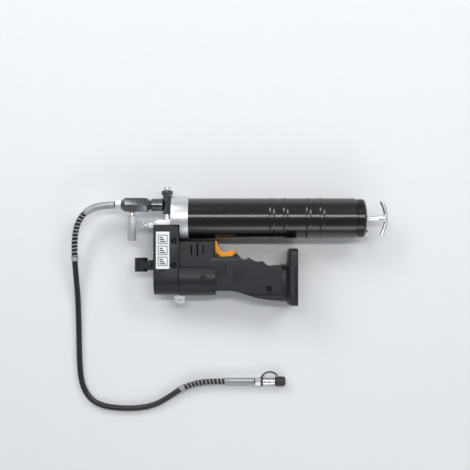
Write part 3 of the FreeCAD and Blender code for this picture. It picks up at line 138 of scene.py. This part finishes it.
def sharpen(tree, fac, low, high):
    """A factor stretched between two limits."""
    stretch = node(tree, "ShaderNodeMapRange")
    stretch.inputs["From Min"].default_value = low
    stretch.inputs["From Max"].default_value = high
    tree.links.new(fac, stretch.inputs["Value"])
    return stretch.outputs["Result"]


# Stretches that turn soft noise into patches of colour and into handling marks.
MOTTLE_STRETCH = (0.3, 0.7)
MARK_STRETCH = (0.35, 0.75)
RING_DISTORTION = 0.4
RING_GRAIN_SHARE = 0.3


def make_surface_group():
    """Colour mottle, handling marks and fine grain, on Object coordinates."""
    group = new_group("handled_surface", [
        ("Vector", "NodeSocketVector", None),
        ("Colour", "NodeSocketColor", (0.5, 0.5, 0.5, 1)),
        ("Shade", "NodeSocketColor", (0.4, 0.4, 0.4, 1)),
        ("Mottle Scale", "NodeSocketFloat", 40.0),
        ("Mark Scale", "NodeSocketFloat", 300.0),
        ("Grain Scale", "NodeSocketFloat", 2500.0),
        ("Roughness Low", "NodeSocketFloat", 0.3),
        ("Roughness High", "NodeSocketFloat", 0.5),
    ], [
        ("Colour", "NodeSocketColor"), ("Roughness", "NodeSocketFloat"),
        ("Height", "NodeSocketFloat"),
    ])
    start = group.nodes.new("NodeGroupInput")
    end = group.nodes.new("NodeGroupOutput")
    vector = start.outputs["Vector"]
    mottle = noise(group, vector, start.outputs["Mottle Scale"])
    marks = noise(group, vector, start.outputs["Mark Scale"], detail=6.0, rough=0.7)
    marks = sharpen(group, marks, *MARK_STRETCH)
    grain = noise(group, vector, start.outputs["Grain Scale"], detail=2.0, rough=0.5)
    colour = node(group, "ShaderNodeMix", data_type="RGBA")
    group.links.new(sharpen(group, mottle, *MOTTLE_STRETCH), colour.inputs["Factor"])
    group.links.new(start.outputs["Colour"], colour.inputs["A"])
    group.links.new(start.outputs["Shade"], colour.inputs["B"])
    group.links.new(colour.outputs["Result"], end.inputs["Colour"])
    rough = blend_range(group, marks, start.outputs["Roughness Low"],
                        start.outputs["Roughness High"])
    group.links.new(rough, end.inputs["Roughness"])
    group.links.new(grain, end.inputs["Height"])
    return group


def make_lathe_group():
    """Fine rings left by turning about an axis: a height that changes along one direction."""
    group = new_group("turned_rings", [
        ("Vector", "NodeSocketVector", None),
        ("Ring Scale", "NodeSocketFloat", 900.0),
        ("Grain", "NodeSocketFloat", 0.5),
    ], [("Height", "NodeSocketFloat")])
    start = group.nodes.new("NodeGroupInput")
    end = group.nodes.new("NodeGroupOutput")
    wave = node(group, "ShaderNodeTexWave", wave_type="BANDS", bands_direction="X")
    wave.inputs["Distortion"].default_value = RING_DISTORTION
    group.links.new(start.outputs["Vector"], wave.inputs["Vector"])
    group.links.new(start.outputs["Ring Scale"], wave.inputs["Scale"])
    mixed = node(group, "ShaderNodeMix", data_type="FLOAT")
    group.links.new(wave.outputs["Fac"], mixed.inputs["A"])
    group.links.new(start.outputs["Grain"], mixed.inputs["B"])
    mixed.inputs["Factor"].default_value = RING_GRAIN_SHARE
    group.links.new(mixed.outputs["Result"], end.inputs["Height"])
    return group


SURFACE = make_surface_group()
LATHE = make_lathe_group()


def material(name, colour, shade, rough, metallic=0.0, mottle=40.0, marks=300.0, grain=2500.0,
             bump=0.1, depth=0.00005, rings=0.0, **sockets):
    """A finish: the shared groups feed one Principled shader; sockets are set on the shader."""
    made = bpy.data.materials.new(name)
    made.use_nodes = True
    tree = made.node_tree
    shader = tree.nodes["Principled BSDF"]
    place = node(tree, "ShaderNodeTexCoord").outputs["Object"]
    surface = node(tree, "ShaderNodeGroup", node_tree=SURFACE)
    tree.links.new(place, surface.inputs["Vector"])
    surface.inputs["Colour"].default_value = (*colour, 1)
    surface.inputs["Shade"].default_value = (*shade, 1)
    surface.inputs["Mottle Scale"].default_value = mottle
    surface.inputs["Mark Scale"].default_value = marks
    surface.inputs["Grain Scale"].default_value = grain
    surface.inputs["Roughness Low"].default_value = rough[0]
    surface.inputs["Roughness High"].default_value = rough[1]
    height = surface.outputs["Height"]
    if rings:
        turned = node(tree, "ShaderNodeGroup", node_tree=LATHE)
        tree.links.new(place, turned.inputs["Vector"])
        turned.inputs["Ring Scale"].default_value = rings
        tree.links.new(height, turned.inputs["Grain"])
        height = turned.outputs["Height"]
    relief = node(tree, "ShaderNodeBump")
    relief.inputs["Strength"].default_value = bump
    relief.inputs["Distance"].default_value = depth
    tree.links.new(height, relief.inputs["Height"])
    tree.links.new(surface.outputs["Colour"], shader.inputs["Base Color"])
    tree.links.new(surface.outputs["Roughness"], shader.inputs["Roughness"])
    tree.links.new(relief.outputs["Normal"], shader.inputs["Normal"])
    shader.inputs["Metallic"].default_value = metallic
    for socket, value in sockets.items():
        shader.inputs[socket.replace("_", " ")].default_value = value
    return made


FINISHES = {
    "cast_aluminium": material(
        "cast_aluminium", (0.72, 0.73, 0.74), (0.62, 0.63, 0.65), (0.34, 0.48), 0.9,
        mottle=60, grain=1500, bump=0.45, depth=0.00012),
    "black_enamel": material(
        "black_enamel", (0.0025, 0.003, 0.004), (0.004, 0.0045, 0.0055), (0.20, 0.30), 0.0,
        mottle=25, marks=160, grain=700, bump=0.04, Coat_Weight=0.35, Coat_Roughness=0.10),
    "black_zinc": material(
        "black_zinc", (0.035, 0.036, 0.040), (0.022, 0.023, 0.026), (0.26, 0.42), 0.6,
        bump=0.06),
    "bright_chrome": material(
        "bright_chrome", (0.88, 0.89, 0.90), (0.83, 0.84, 0.86), (0.20, 0.32), 1.0, bump=0.01),
    "dark_plated_steel": material(
        "dark_plated_steel", (0.20, 0.21, 0.23), (0.13, 0.14, 0.15), (0.16, 0.30), 1.0, bump=0.04),
    "zinc_steel": material(
        "zinc_steel", (0.76, 0.77, 0.78), (0.68, 0.69, 0.69), (0.34, 0.46), 1.0, bump=0.01),
    "machined_steel": material(
        "machined_steel", (0.58, 0.59, 0.61), (0.50, 0.51, 0.53), (0.22, 0.34), 1.0, bump=0.2,
        rings=700),
    "spring_steel": material(
        "spring_steel", (0.66, 0.67, 0.69), (0.52, 0.53, 0.55), (0.36, 0.48), 1.0, bump=0.02),
    "copper": material("copper", (0.85, 0.42, 0.25), (0.66, 0.30, 0.17), (0.22, 0.38), 1.0),
    "brass": material("brass", (0.82, 0.62, 0.28), (0.70, 0.52, 0.22), (0.20, 0.34), 1.0),
    "bronze": material(
        "bronze", (0.58, 0.40, 0.22), (0.46, 0.31, 0.17), (0.34, 0.5), 1.0, bump=0.3),
    "black_plastic": material(
        "black_plastic", (0.013, 0.0155, 0.019), (0.009, 0.011, 0.014), (0.38, 0.50), 0.0,
        mottle=30, marks=220, grain=1900, bump=0.5, depth=0.00008, Specular_IOR_Level=0.42),
    "grey_plastic": material(
        "grey_plastic", (0.26, 0.27, 0.28), (0.22, 0.23, 0.24), (0.45, 0.6), 0.0, bump=0.3),
    "amber_plastic": material(
        "amber_plastic", (0.93, 0.37, 0.006), (0.86, 0.31, 0.005), (0.32, 0.44), 0.0,
        mottle=60, grain=2200, bump=0.25, Subsurface_Weight=0.05),
    "nitrile_rubber": material(
        "nitrile_rubber", (0.018, 0.018, 0.020), (0.028, 0.028, 0.030), (0.45, 0.65), 0.0,
        bump=0.3),
    "hose_rubber": material(
        "hose_rubber", (0.008, 0.0085, 0.010), (0.013, 0.014, 0.015), (0.28, 0.44), 0.0,
        mottle=50, marks=200, grain=1600, bump=0.2, Sheen_Weight=0.1),
    "label_film": material(
        "label_film", (0.86, 0.88, 0.88), (0.82, 0.84, 0.85), (0.35, 0.5), 0.0, bump=0.05),
    "label_ink": material("label_ink", (0.03, 0.03, 0.035), (0.04, 0.04, 0.045), (0.4, 0.5)),
    "motor_laminate": material(
        "motor_laminate", (0.36, 0.37, 0.39), (0.26, 0.26, 0.27), (0.3, 0.5), 1.0, rings=1500,
        bump=0.5),
    "ferrite": material("ferrite", (0.09, 0.09, 0.10), (0.06, 0.06, 0.07), (0.6, 0.8), 0.2),
}


def dress(piece, slot):
    """Give a piece the finish of a slot."""
    piece.data.materials.clear()
    piece.data.materials.append(FINISHES[slot])


# ---------------------------------------------------------------- mesh helpers

ROUNDED_SHARP_ANGLE = 32
PLAIN_SHARP_ANGLE = 28
WELD_DISTANCE = 2e-6
FLAT_ANGLE = 1.0
CORNER_ANGLE = 24.0
ROUND_SEGMENTS = 3


def smooth_by_angle(mesh, limit):
    """Smooth faces, with the edges over the limit in degrees kept sharp."""
    for face in mesh.polygons:
        face.use_smooth = True
    mesh.set_sharp_from_angle(angle=math.radians(limit))


def piece_from(name, mesh, body, slot):
    """A finished piece: linked, dressed and riding on its body."""
    made = bpy.data.objects.new(name, mesh)
    bpy.context.scene.collection.objects.link(made)
    dress(made, slot)
    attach(made, body)
    return made


def evaluated_copy(made):
    """A plain mesh of an object with its modifiers applied."""
    graph = bpy.context.evaluated_depsgraph_get()
    return bpy.data.meshes.new_from_object(made.evaluated_get(graph), depsgraph=graph)


def soften(source, name, body, slot, width):
    """Put a copy of a CAD node with rounded edges in the node's place."""
    mesh = frame["nodes"][source].data.copy()
    work = bmesh.new()
    work.from_mesh(mesh)
    bmesh.ops.remove_doubles(work, verts=work.verts, dist=WELD_DISTANCE)
    bmesh.ops.dissolve_limit(work, angle_limit=math.radians(FLAT_ANGLE), verts=work.verts,
                             edges=work.edges)
    work.to_mesh(mesh)
    work.free()
    draft = bpy.data.objects.new(name + "_draft", mesh)
    bpy.context.scene.collection.objects.link(draft)
    bevel = draft.modifiers.new("round", "BEVEL")
    bevel.width = width * MM
    bevel.segments = ROUND_SEGMENTS
    bevel.limit_method = "ANGLE"
    bevel.angle_limit = math.radians(CORNER_ANGLE)
    bevel.use_clamp_overlap = True
    bevel.harden_normals = False
    result = evaluated_copy(draft)
    bpy.data.objects.remove(draft)
    smooth_by_angle(result, ROUNDED_SHARP_ANGLE)
    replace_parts(piece_from(name, result, body, slot), source)


# ---------------------------------------------------------------- hose

# The hose's route from its nut to its coupler: distance along X and Y from the datum, and height
# over the surface, in millimetres.
HOSE_ROUTE = (
    (-104.4, 19.2, 31.5), (-119.5, 18.6, 31.5), (-134.5, 15.6, 31.0), (-147.5, 8.6, 29.8),
    (-156.8, -3.0, 28.0), (-161.9, -18.0, 25.6), (-164.2, -37.0, 22.4), (-164.4, -60.0, 17.8),
    (-163.0, -88.0, 11.2), (-161.4, -120.0, 5.6), (-160.6, -158.0, 4.15), (-159.9, -196.0, 4.1),
    (-158.6, -226.0, 4.1), (-153.6, -246.5, 4.1), (-142.6, -262.4, 4.1), (-125.0, -271.6, 4.1),
    (-98.0, -274.8, 4.1), (-72.0, -274.2, 4.1), (-50.0, -269.4, 4.2), (-31.0, -258.6, 5.0),
    (-13.5, -246.6, 6.2), (4.0, -239.0, 6.8), (22.0, -235.8, 7.0), (45.0, -235.2, 7.0),
    (70.0, -235.0, 7.0), (94.6, -235.0, 7.0),
)
HOSE_RADIUS = 4.1
CURVE_STEPS = 12
BEVEL_STEPS = 5

# The wound guards: radius of the coil's middle, radius of its wire, sides of the wire, steps in a
# turn, and the rise of a turn where the coil is closed and where it is open.
COIL_RADIUS = 4.75
COIL_WIRE = 0.6
COIL_SIDES = 7
COIL_STEPS = 18
CLOSED_PITCH = 1.24
OPEN_PITCH = 6.0
COLLAR_LENGTH = 7.0
END_GAP = 0.8
SLEEVE_OFFSET = 6.0

# The route points where a guard changes: numbers from the nut, and from the coupler if negative.
GUN_CLOSED_POINT = 3
GUN_COLLAR_POINT = 7
COUPLER_COLLAR_POINT = -6
COUPLER_CLOSED_POINT = -3


def hose_points():
    """The route in the frame."""
    return [Vector((DATUM_X + x * MM, DATUM_Y + y * MM, z * MM)) for x, y, z in HOSE_ROUTE]


def make_hose(spots):
    """Hose as one smooth curve, and the line that its guards follow."""
    curve = bpy.data.curves.new("hose_line", "CURVE")
    curve.dimensions = "3D"
    spline = curve.splines.new("NURBS")
    spline.points.add(len(spots) - 1)
    for spot, place in zip(spline.points, spots):
        spot.co = (*place, 1.0)
    spline.order_u = 3
    spline.use_endpoint_u = True
    spline.resolution_u = CURVE_STEPS
    hose = bpy.data.objects.new("hose_cover", curve)
    bpy.context.scene.collection.objects.link(hose)
    bare = evaluated_copy(hose)
    line = [vertex.co.copy() for vertex in bare.vertices]
    curve.bevel_depth = HOSE_RADIUS * MM
    curve.bevel_resolution = BEVEL_STEPS
    curve.use_fill_caps = True
    curve.materials.append(FINISHES["hose_rubber"])
    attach(hose, "gun")
    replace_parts(hose, "hose")
    return hose, line


def steps_along(line, low, high, turn_at):
    """Points, directions and turn angles along the line from low to high, in metres."""
    travelled = 0.0
    angle = 0.0
    spots = []
    for before, after in zip(line, line[1:]):
        run = (after - before).length
        if run < 1e-9:
            continue
        direction = (after - before) / run
        here = max(0.0, low - travelled)
        while here <= run and travelled + here <= high:
            distance = travelled + here
            if distance >= low:
                spots.append((before + direction * here, direction, angle))
            step = turn_at(distance) / COIL_STEPS
            angle += 2 * math.pi / COIL_STEPS
            here += step
        travelled += run
    return spots


def wire_mesh(name, centres, wire_radius):
    """Closed round wire along a list of centres."""
    work = bmesh.new()
    rings = []
    last = len(centres) - 1
    for index, centre in enumerate(centres):
        forward = (centres[min(index + 1, last)] - centres[max(index - 1, 0)]).normalized()
        side = forward.cross(Vector((0, 0, 1)))
        if side.length < 1e-4:
            side = forward.cross(Vector((1, 0, 0)))
        side.normalize()
        up = side.cross(forward).normalized()
        ring = []
        for corner in range(COIL_SIDES):
            turn = 2 * math.pi * corner / COIL_SIDES
            offset = side * math.cos(turn) + up * math.sin(turn)
            ring.append(work.verts.new(centre + offset * wire_radius))
        rings.append(ring)
    for first, second in zip(rings, rings[1:]):
        for corner in range(COIL_SIDES):
            following = (corner + 1) % COIL_SIDES
            work.faces.new((first[corner], first[following], second[following], second[corner]))
    work.faces.new(rings[0])
    work.faces.new(list(reversed(rings[-1])))
    bmesh.ops.recalc_face_normals(work, faces=work.faces)
    mesh = bpy.data.meshes.new(name)
    work.to_mesh(mesh)
    work.free()
    for face in mesh.polygons:
        face.use_smooth = True
    return mesh


def make_guard(name, source, line, low, high, pitch_at):
    """Wound spring guard round the hose between two distances from the nut, in millimetres."""
    centres = []
    side = None
    for place, forward, angle in steps_along(line, low * MM, high * MM,
                                             lambda s: pitch_at(s / MM) * MM):
        if side is None:
            side = forward.cross(Vector((0, 0, 1))).normalized()
        side = (side - forward * side.dot(forward)).normalized()
        up = forward.cross(side)
        radius = COIL_RADIUS * MM
        centres.append(place + (side * math.cos(angle) + up * math.sin(angle)) * radius)
    mesh = wire_mesh(name, centres, COIL_WIRE * MM)
    made = piece_from(name, mesh, "gun", "spring_steel")
    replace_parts(made, source)
    return made


def line_length(line):
    """Length of the line in metres."""
    return sum((b - a).length for a, b in zip(line, line[1:]))


def distance_of(line, place):
    """How far along the line its nearest point to a place is, in millimetres."""
    travelled = 0.0
    best = (1e9, 0.0)
    for before, after in zip(line, line[1:]):
        best = min(best, ((before - place).length, travelled))
        travelled += (after - before).length
    return best[1] / MM


def make_hose_parts():
    """Hose with its two guards."""
    spots = hose_points()
    hose, line = make_hose(spots)
    total = line_length(line) / MM
    closed_to = distance_of(line, spots[GUN_CLOSED_POINT])
    collar_to = distance_of(line, spots[GUN_COLLAR_POINT])

    def gun_pitch(distance):
        if distance < closed_to or distance > collar_to - COLLAR_LENGTH:
            return CLOSED_PITCH
        return OPEN_PITCH

    collar_from = distance_of(line, spots[COUPLER_COLLAR_POINT])
    closed_from = distance_of(line, spots[COUPLER_CLOSED_POINT]) + SLEEVE_OFFSET

    def coupler_pitch(distance):
        if distance > closed_from or distance < collar_from + COLLAR_LENGTH:
            return CLOSED_PITCH
        return OPEN_PITCH

    guards = [
        make_guard("gun_guard_spring", "hose_guard_gun", line, END_GAP, collar_to, gun_pitch),
        make_guard("coupler_guard_spring", "hose_guard_coupler", line, collar_from,
                   total - END_GAP, coupler_pitch),
    ]


# ---------------------------------------------------------------- details

def flat_boxes(boxes):
    """A mesh of thin boxes: each is x, y, width, height, low z and high z from the datum."""
    work = bmesh.new()
    for x, y, width, height, low, high in boxes:
        corners = [(x, y), (x + width, y), (x + width, y + height), (x, y + height)]
        bottom = [work.verts.new(at(*c, low)) for c in corners]
        top = [work.verts.new(at(*c, high)) for c in corners]
        work.faces.new(list(reversed(bottom)))
        work.faces.new(top)
        for index in range(4):
            following = (index + 1) % 4
            work.faces.new((bottom[index], bottom[following], top[following], top[index]))
    mesh = bpy.data.meshes.new("flat_boxes")
    work.to_mesh(mesh)
    work.free()
    return mesh


# The label's frames: rows, height, line width, margins at the sides and the foot, and room that
# the rows leave at the top. Then the bars in each frame.
PRINT_ROWS = 3
PRINT_HEIGHT = 13.0
PRINT_LINE = 1.0
PRINT_MARGIN = 2.5
PRINT_FOOT = 4.0
PRINT_ROOM = 6.0
PRINT_SINK = 0.02
PRINT_RISE = 0.06
BARS = 3
BAR_MARGIN = 2.6
BAR_FOOT = 2.4
BAR_STEP = 3.0
BAR_HEIGHT = 1.7
BAR_SHORTER = 1.9


def make_label_print():
    """Plain boxes and bars in place of the label's print."""
    low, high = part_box("label")
    left = (low[0] - DATUM_X) / MM
    bottom = (low[1] - DATUM_Y) / MM
    width = (high[0] - low[0]) / MM
    height = (high[1] - low[1]) / MM
    top_z = (high[2] - MIDDLE_Z) / MM
    z = (top_z - PRINT_SINK, top_z + PRINT_RISE)
    boxes = []
    wide = width - 2 * PRINT_MARGIN
    tall = PRINT_HEIGHT
    line = PRINT_LINE
    for row in range(PRINT_ROWS):
        x = left + PRINT_MARGIN
        y = bottom + PRINT_FOOT + row * (height - PRINT_ROOM) / PRINT_ROWS
        boxes += [
            (x, y, wide, line, *z), (x, y + tall - line, wide, line, *z),
            (x, y + line, line, tall - 2 * line, *z),
            (x + wide - line, y + line, line, tall - 2 * line, *z),
        ]
        for bar in range(BARS):
            length = wide - 2 * BAR_MARGIN - bar * BAR_SHORTER
            boxes.append((x + BAR_MARGIN, y + BAR_FOOT + bar * BAR_STEP, length, BAR_HEIGHT, *z))
    made = piece_from("label_print", flat_boxes(boxes), "gun", "label_film")
    dress(made, "label_ink")


KNURL_RIBS = 96
KNURL_DEPTH = 0.45
KNURL_LENGTH = 7.6
KNURL_RIB_WIDTH = 0.85
KNURL_RADIUS = 26.7
KNURL_MIDDLE = 242.3


def make_knurl():
    """Straight knurl round the end cap, as ribs instanced by a node tree."""
    tree = bpy.data.node_groups.new("knurl_ribs", "GeometryNodeTree")
    tree.interface.new_socket("Geometry", in_out="INPUT", socket_type="NodeSocketGeometry")
    for label, kind in (("Radius", "NodeSocketFloat"), ("Ribs", "NodeSocketInt"),
                        ("Rib Size", "NodeSocketVector"), ("Finish", "NodeSocketMaterial")):
        tree.interface.new_socket(label, in_out="INPUT", socket_type=kind)
    tree.interface.new_socket("Geometry", in_out="OUTPUT", socket_type="NodeSocketGeometry")
    start = tree.nodes.new("NodeGroupInput")
    end = tree.nodes.new("NodeGroupOutput")
    circle = tree.nodes.new("GeometryNodeMeshCircle")
    rib = tree.nodes.new("GeometryNodeMeshCube")
    spread = tree.nodes.new("GeometryNodeInstanceOnPoints")
    aim = tree.nodes.new("FunctionNodeAlignRotationToVector")
    outward = tree.nodes.new("GeometryNodeInputPosition")
    real = tree.nodes.new("GeometryNodeRealizeInstances")
    finish = tree.nodes.new("GeometryNodeSetMaterial")
    link = tree.links.new
    link(start.outputs["Radius"], circle.inputs["Radius"])
    link(start.outputs["Ribs"], circle.inputs["Vertices"])
    link(start.outputs["Rib Size"], rib.inputs["Size"])
    aim.axis = "X"
    link(outward.outputs["Position"], aim.inputs["Vector"])
    link(circle.outputs["Mesh"], spread.inputs["Points"])
    link(rib.outputs["Mesh"], spread.inputs["Instance"])
    link(aim.outputs["Rotation"], spread.inputs["Rotation"])
    link(spread.outputs["Instances"], real.inputs["Geometry"])
    link(real.outputs["Geometry"], finish.inputs["Geometry"])
    link(start.outputs["Finish"], finish.inputs["Material"])
    link(finish.outputs["Geometry"], end.inputs["Geometry"])

    draft = bpy.data.objects.new("knurl_draft", bpy.data.meshes.new("knurl_draft"))
    bpy.context.scene.collection.objects.link(draft)
    modifier = draft.modifiers.new("ribs", "NODES")
    modifier.node_group = tree
    values = {
        "Radius": KNURL_RADIUS * MM, "Ribs": KNURL_RIBS,
        "Rib Size": (KNURL_DEPTH * 2 * MM, KNURL_RIB_WIDTH * MM, KNURL_LENGTH * MM),
        "Finish": FINISHES["black_enamel"],
    }
    for item in tree.interface.items_tree:
        if item.in_out == "INPUT" and item.name in values:
            modifier[item.identifier] = values[item.name]
    mesh = evaluated_copy(draft)
    bpy.data.objects.remove(draft)
    middle = at(KNURL_MIDDLE, 0)
    for vertex in mesh.vertices:
        x, y, z = vertex.co
        vertex.co = (middle.x + z, middle.y + x, middle.z + y)
    piece_from("cap_knurl", mesh, "barrel", "black_enamel")


# ---------------------------------------------------------------- stage

FLOOR_HALF = 3

# Each light: name, place, the point it faces, its two sizes and its power.
LIGHTS = (
    ("key", (-0.9, 1.15, 1.05), (0.05, 0.0, 0), (1.2, 0.5), 11),
    ("rear", (0.9, 1.0, 1.15), (0.05, 0.0, 0), (0.9, 0.5), 8),
    ("strip", (0.05, 0.42, 1.75), (0.05, 0.0, 0), (1.5, 0.12), 11),
    ("fill", (0.5, -1.5, 1.0), (0, -0.1, 0), (1.4, 0.6), 6),
)

# The surround is dimmer overhead: heights where it starts and ends to dim, and its strength there.
SKY_HEIGHTS = (0.55, 0.98)
SKY_STRENGTHS = (0.46, 0.20)
SKY_COLOUR = (0.92, 0.96, 1.0, 1)


def area_light(name, place, aim, size, power):
    """Soft light from a rectangle."""
    data = bpy.data.lights.new(name, "AREA")
    data.shape = "RECTANGLE"
    data.size, data.size_y = size
    data.energy = power
    light = bpy.data.objects.new(name, data)
    light.location = place
    light.rotation_euler = (Vector(aim) - Vector(place)).to_track_quat("-Z", "Y").to_euler()
    bpy.context.scene.collection.objects.link(light)


def make_floor():
    """Plain pale floor."""
    half = FLOOR_HALF
    mesh = bpy.data.meshes.new("floor")
    corners = [(-half, -half, 0), (half, -half, 0), (half, half, 0), (-half, half, 0)]
    mesh.from_pydata(corners, [], [(0, 1, 2, 3)])
    floor = bpy.data.objects.new("floor", mesh)
    bpy.context.scene.collection.objects.link(floor)
    floor.data.materials.append(material(
        "floor_paper", (0.80, 0.81, 0.82), (0.79, 0.80, 0.81), (0.7, 0.8), bump=0.02))


def make_surround():
    """Plain pale surround that dims overhead."""
    world = bpy.data.worlds.new("surround")
    world.use_nodes = True
    tree = world.node_tree
    high = node(tree, "ShaderNodeSeparateXYZ")
    tree.links.new(node(tree, "ShaderNodeTexCoord").outputs["Generated"], high.inputs["Vector"])
    fade = node(tree, "ShaderNodeMapRange")
    fade.inputs["From Min"].default_value = SKY_HEIGHTS[0]
    fade.inputs["From Max"].default_value = SKY_HEIGHTS[1]
    fade.inputs["To Min"].default_value = SKY_STRENGTHS[0]
    fade.inputs["To Max"].default_value = SKY_STRENGTHS[1]
    tree.links.new(high.outputs["Z"], fade.inputs["Value"])
    tree.nodes["Background"].inputs["Color"].default_value = SKY_COLOUR
    tree.links.new(fade.outputs["Result"], tree.nodes["Background"].inputs["Strength"])
    bpy.context.scene.world = world


def make_stage():
    """Floor, lights and surround."""
    make_floor()
    for light in LIGHTS:
        area_light(*light)
    make_surround()
    bpy.context.scene.view_settings.view_transform = "Standard"


# ---------------------------------------------------------------- the whole gun

# CAD nodes whose edges are rounded: node, name, body, slot and width of the round.
SOFTENED = (
    ("gear_housing_near", "gear_case_near", "gun", "black_plastic", 0.5),
    ("gear_housing_far", "gear_case_far", "gun", "black_plastic", 0.5),
    ("battery_dock", "dock_flange", "gun", "black_plastic", 0.9),
    ("head_casting", "head_body", "gun", "cast_aluminium", 0.7),
    ("outlet_block", "outlet_hexagon", "gun", "dark_plated_steel", 0.35),
    ("outlet_fitting", "outlet_hexagon_fitting", "gun", "dark_plated_steel", 0.3),
    ("relief_body", "relief_hexagon", "gun", "zinc_steel", 0.3),
    ("trigger", "trigger_blade", "trigger", "amber_plastic", 0.5),
)

# Springs copied in place: node, name, body, joint, axis, fixed end, share kept.
SPRINGS = (
    ("follower_spring", "follower_coil", "barrel", "rod_slide", (1, 0, 0), (235.1, 0, 0), 0.10),
    ("check_spring", "check_coil", "gun", "check_ball_lift", (0, 1, 0), (-30.5, 31.5, 0), 0.85),
    ("relief_spring", "relief_coil", "gun", "relief_poppet_lift", (0, -1, 0),
     (-80.7, -28.0, 0), 0.85),
    ("trigger_spring", "trigger_coil", "gun", "trigger_pull", (0, -1, 0), (58.0, -68.0, 0), 0.15),
)


def make_spring(source, name, body, joint, axis, anchor, keep):
    """Put a copy of a CAD spring in its place."""
    mesh = frame["nodes"][source].data.copy()
    for face in mesh.polygons:
        face.use_smooth = True
    made = piece_from(name, mesh, body, "spring_steel")
    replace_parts(made, source)
    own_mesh(made)


BLACKENED = ("housing_screws", "hose_clip", "dock_rails")


def dress_nodes():
    """Give every CAD node the finish of its slot, or black where it is blackened."""
    slots = {part["node"]: part["material_slot"] for part in frame["record"]["subparts"]}
    for name, made in frame["nodes"].items():
        dress(made, "black_zinc" if name in BLACKENED else slots[name])
        smooth_by_angle(made.data, PLAIN_SHARP_ANGLE)


make_camera()
dress_nodes()
make_hose_parts()
for choice in SOFTENED:
    soften(*choice)
for choice in SPRINGS:
    make_spring(*choice)
make_label_print()
make_knurl()
make_stage()
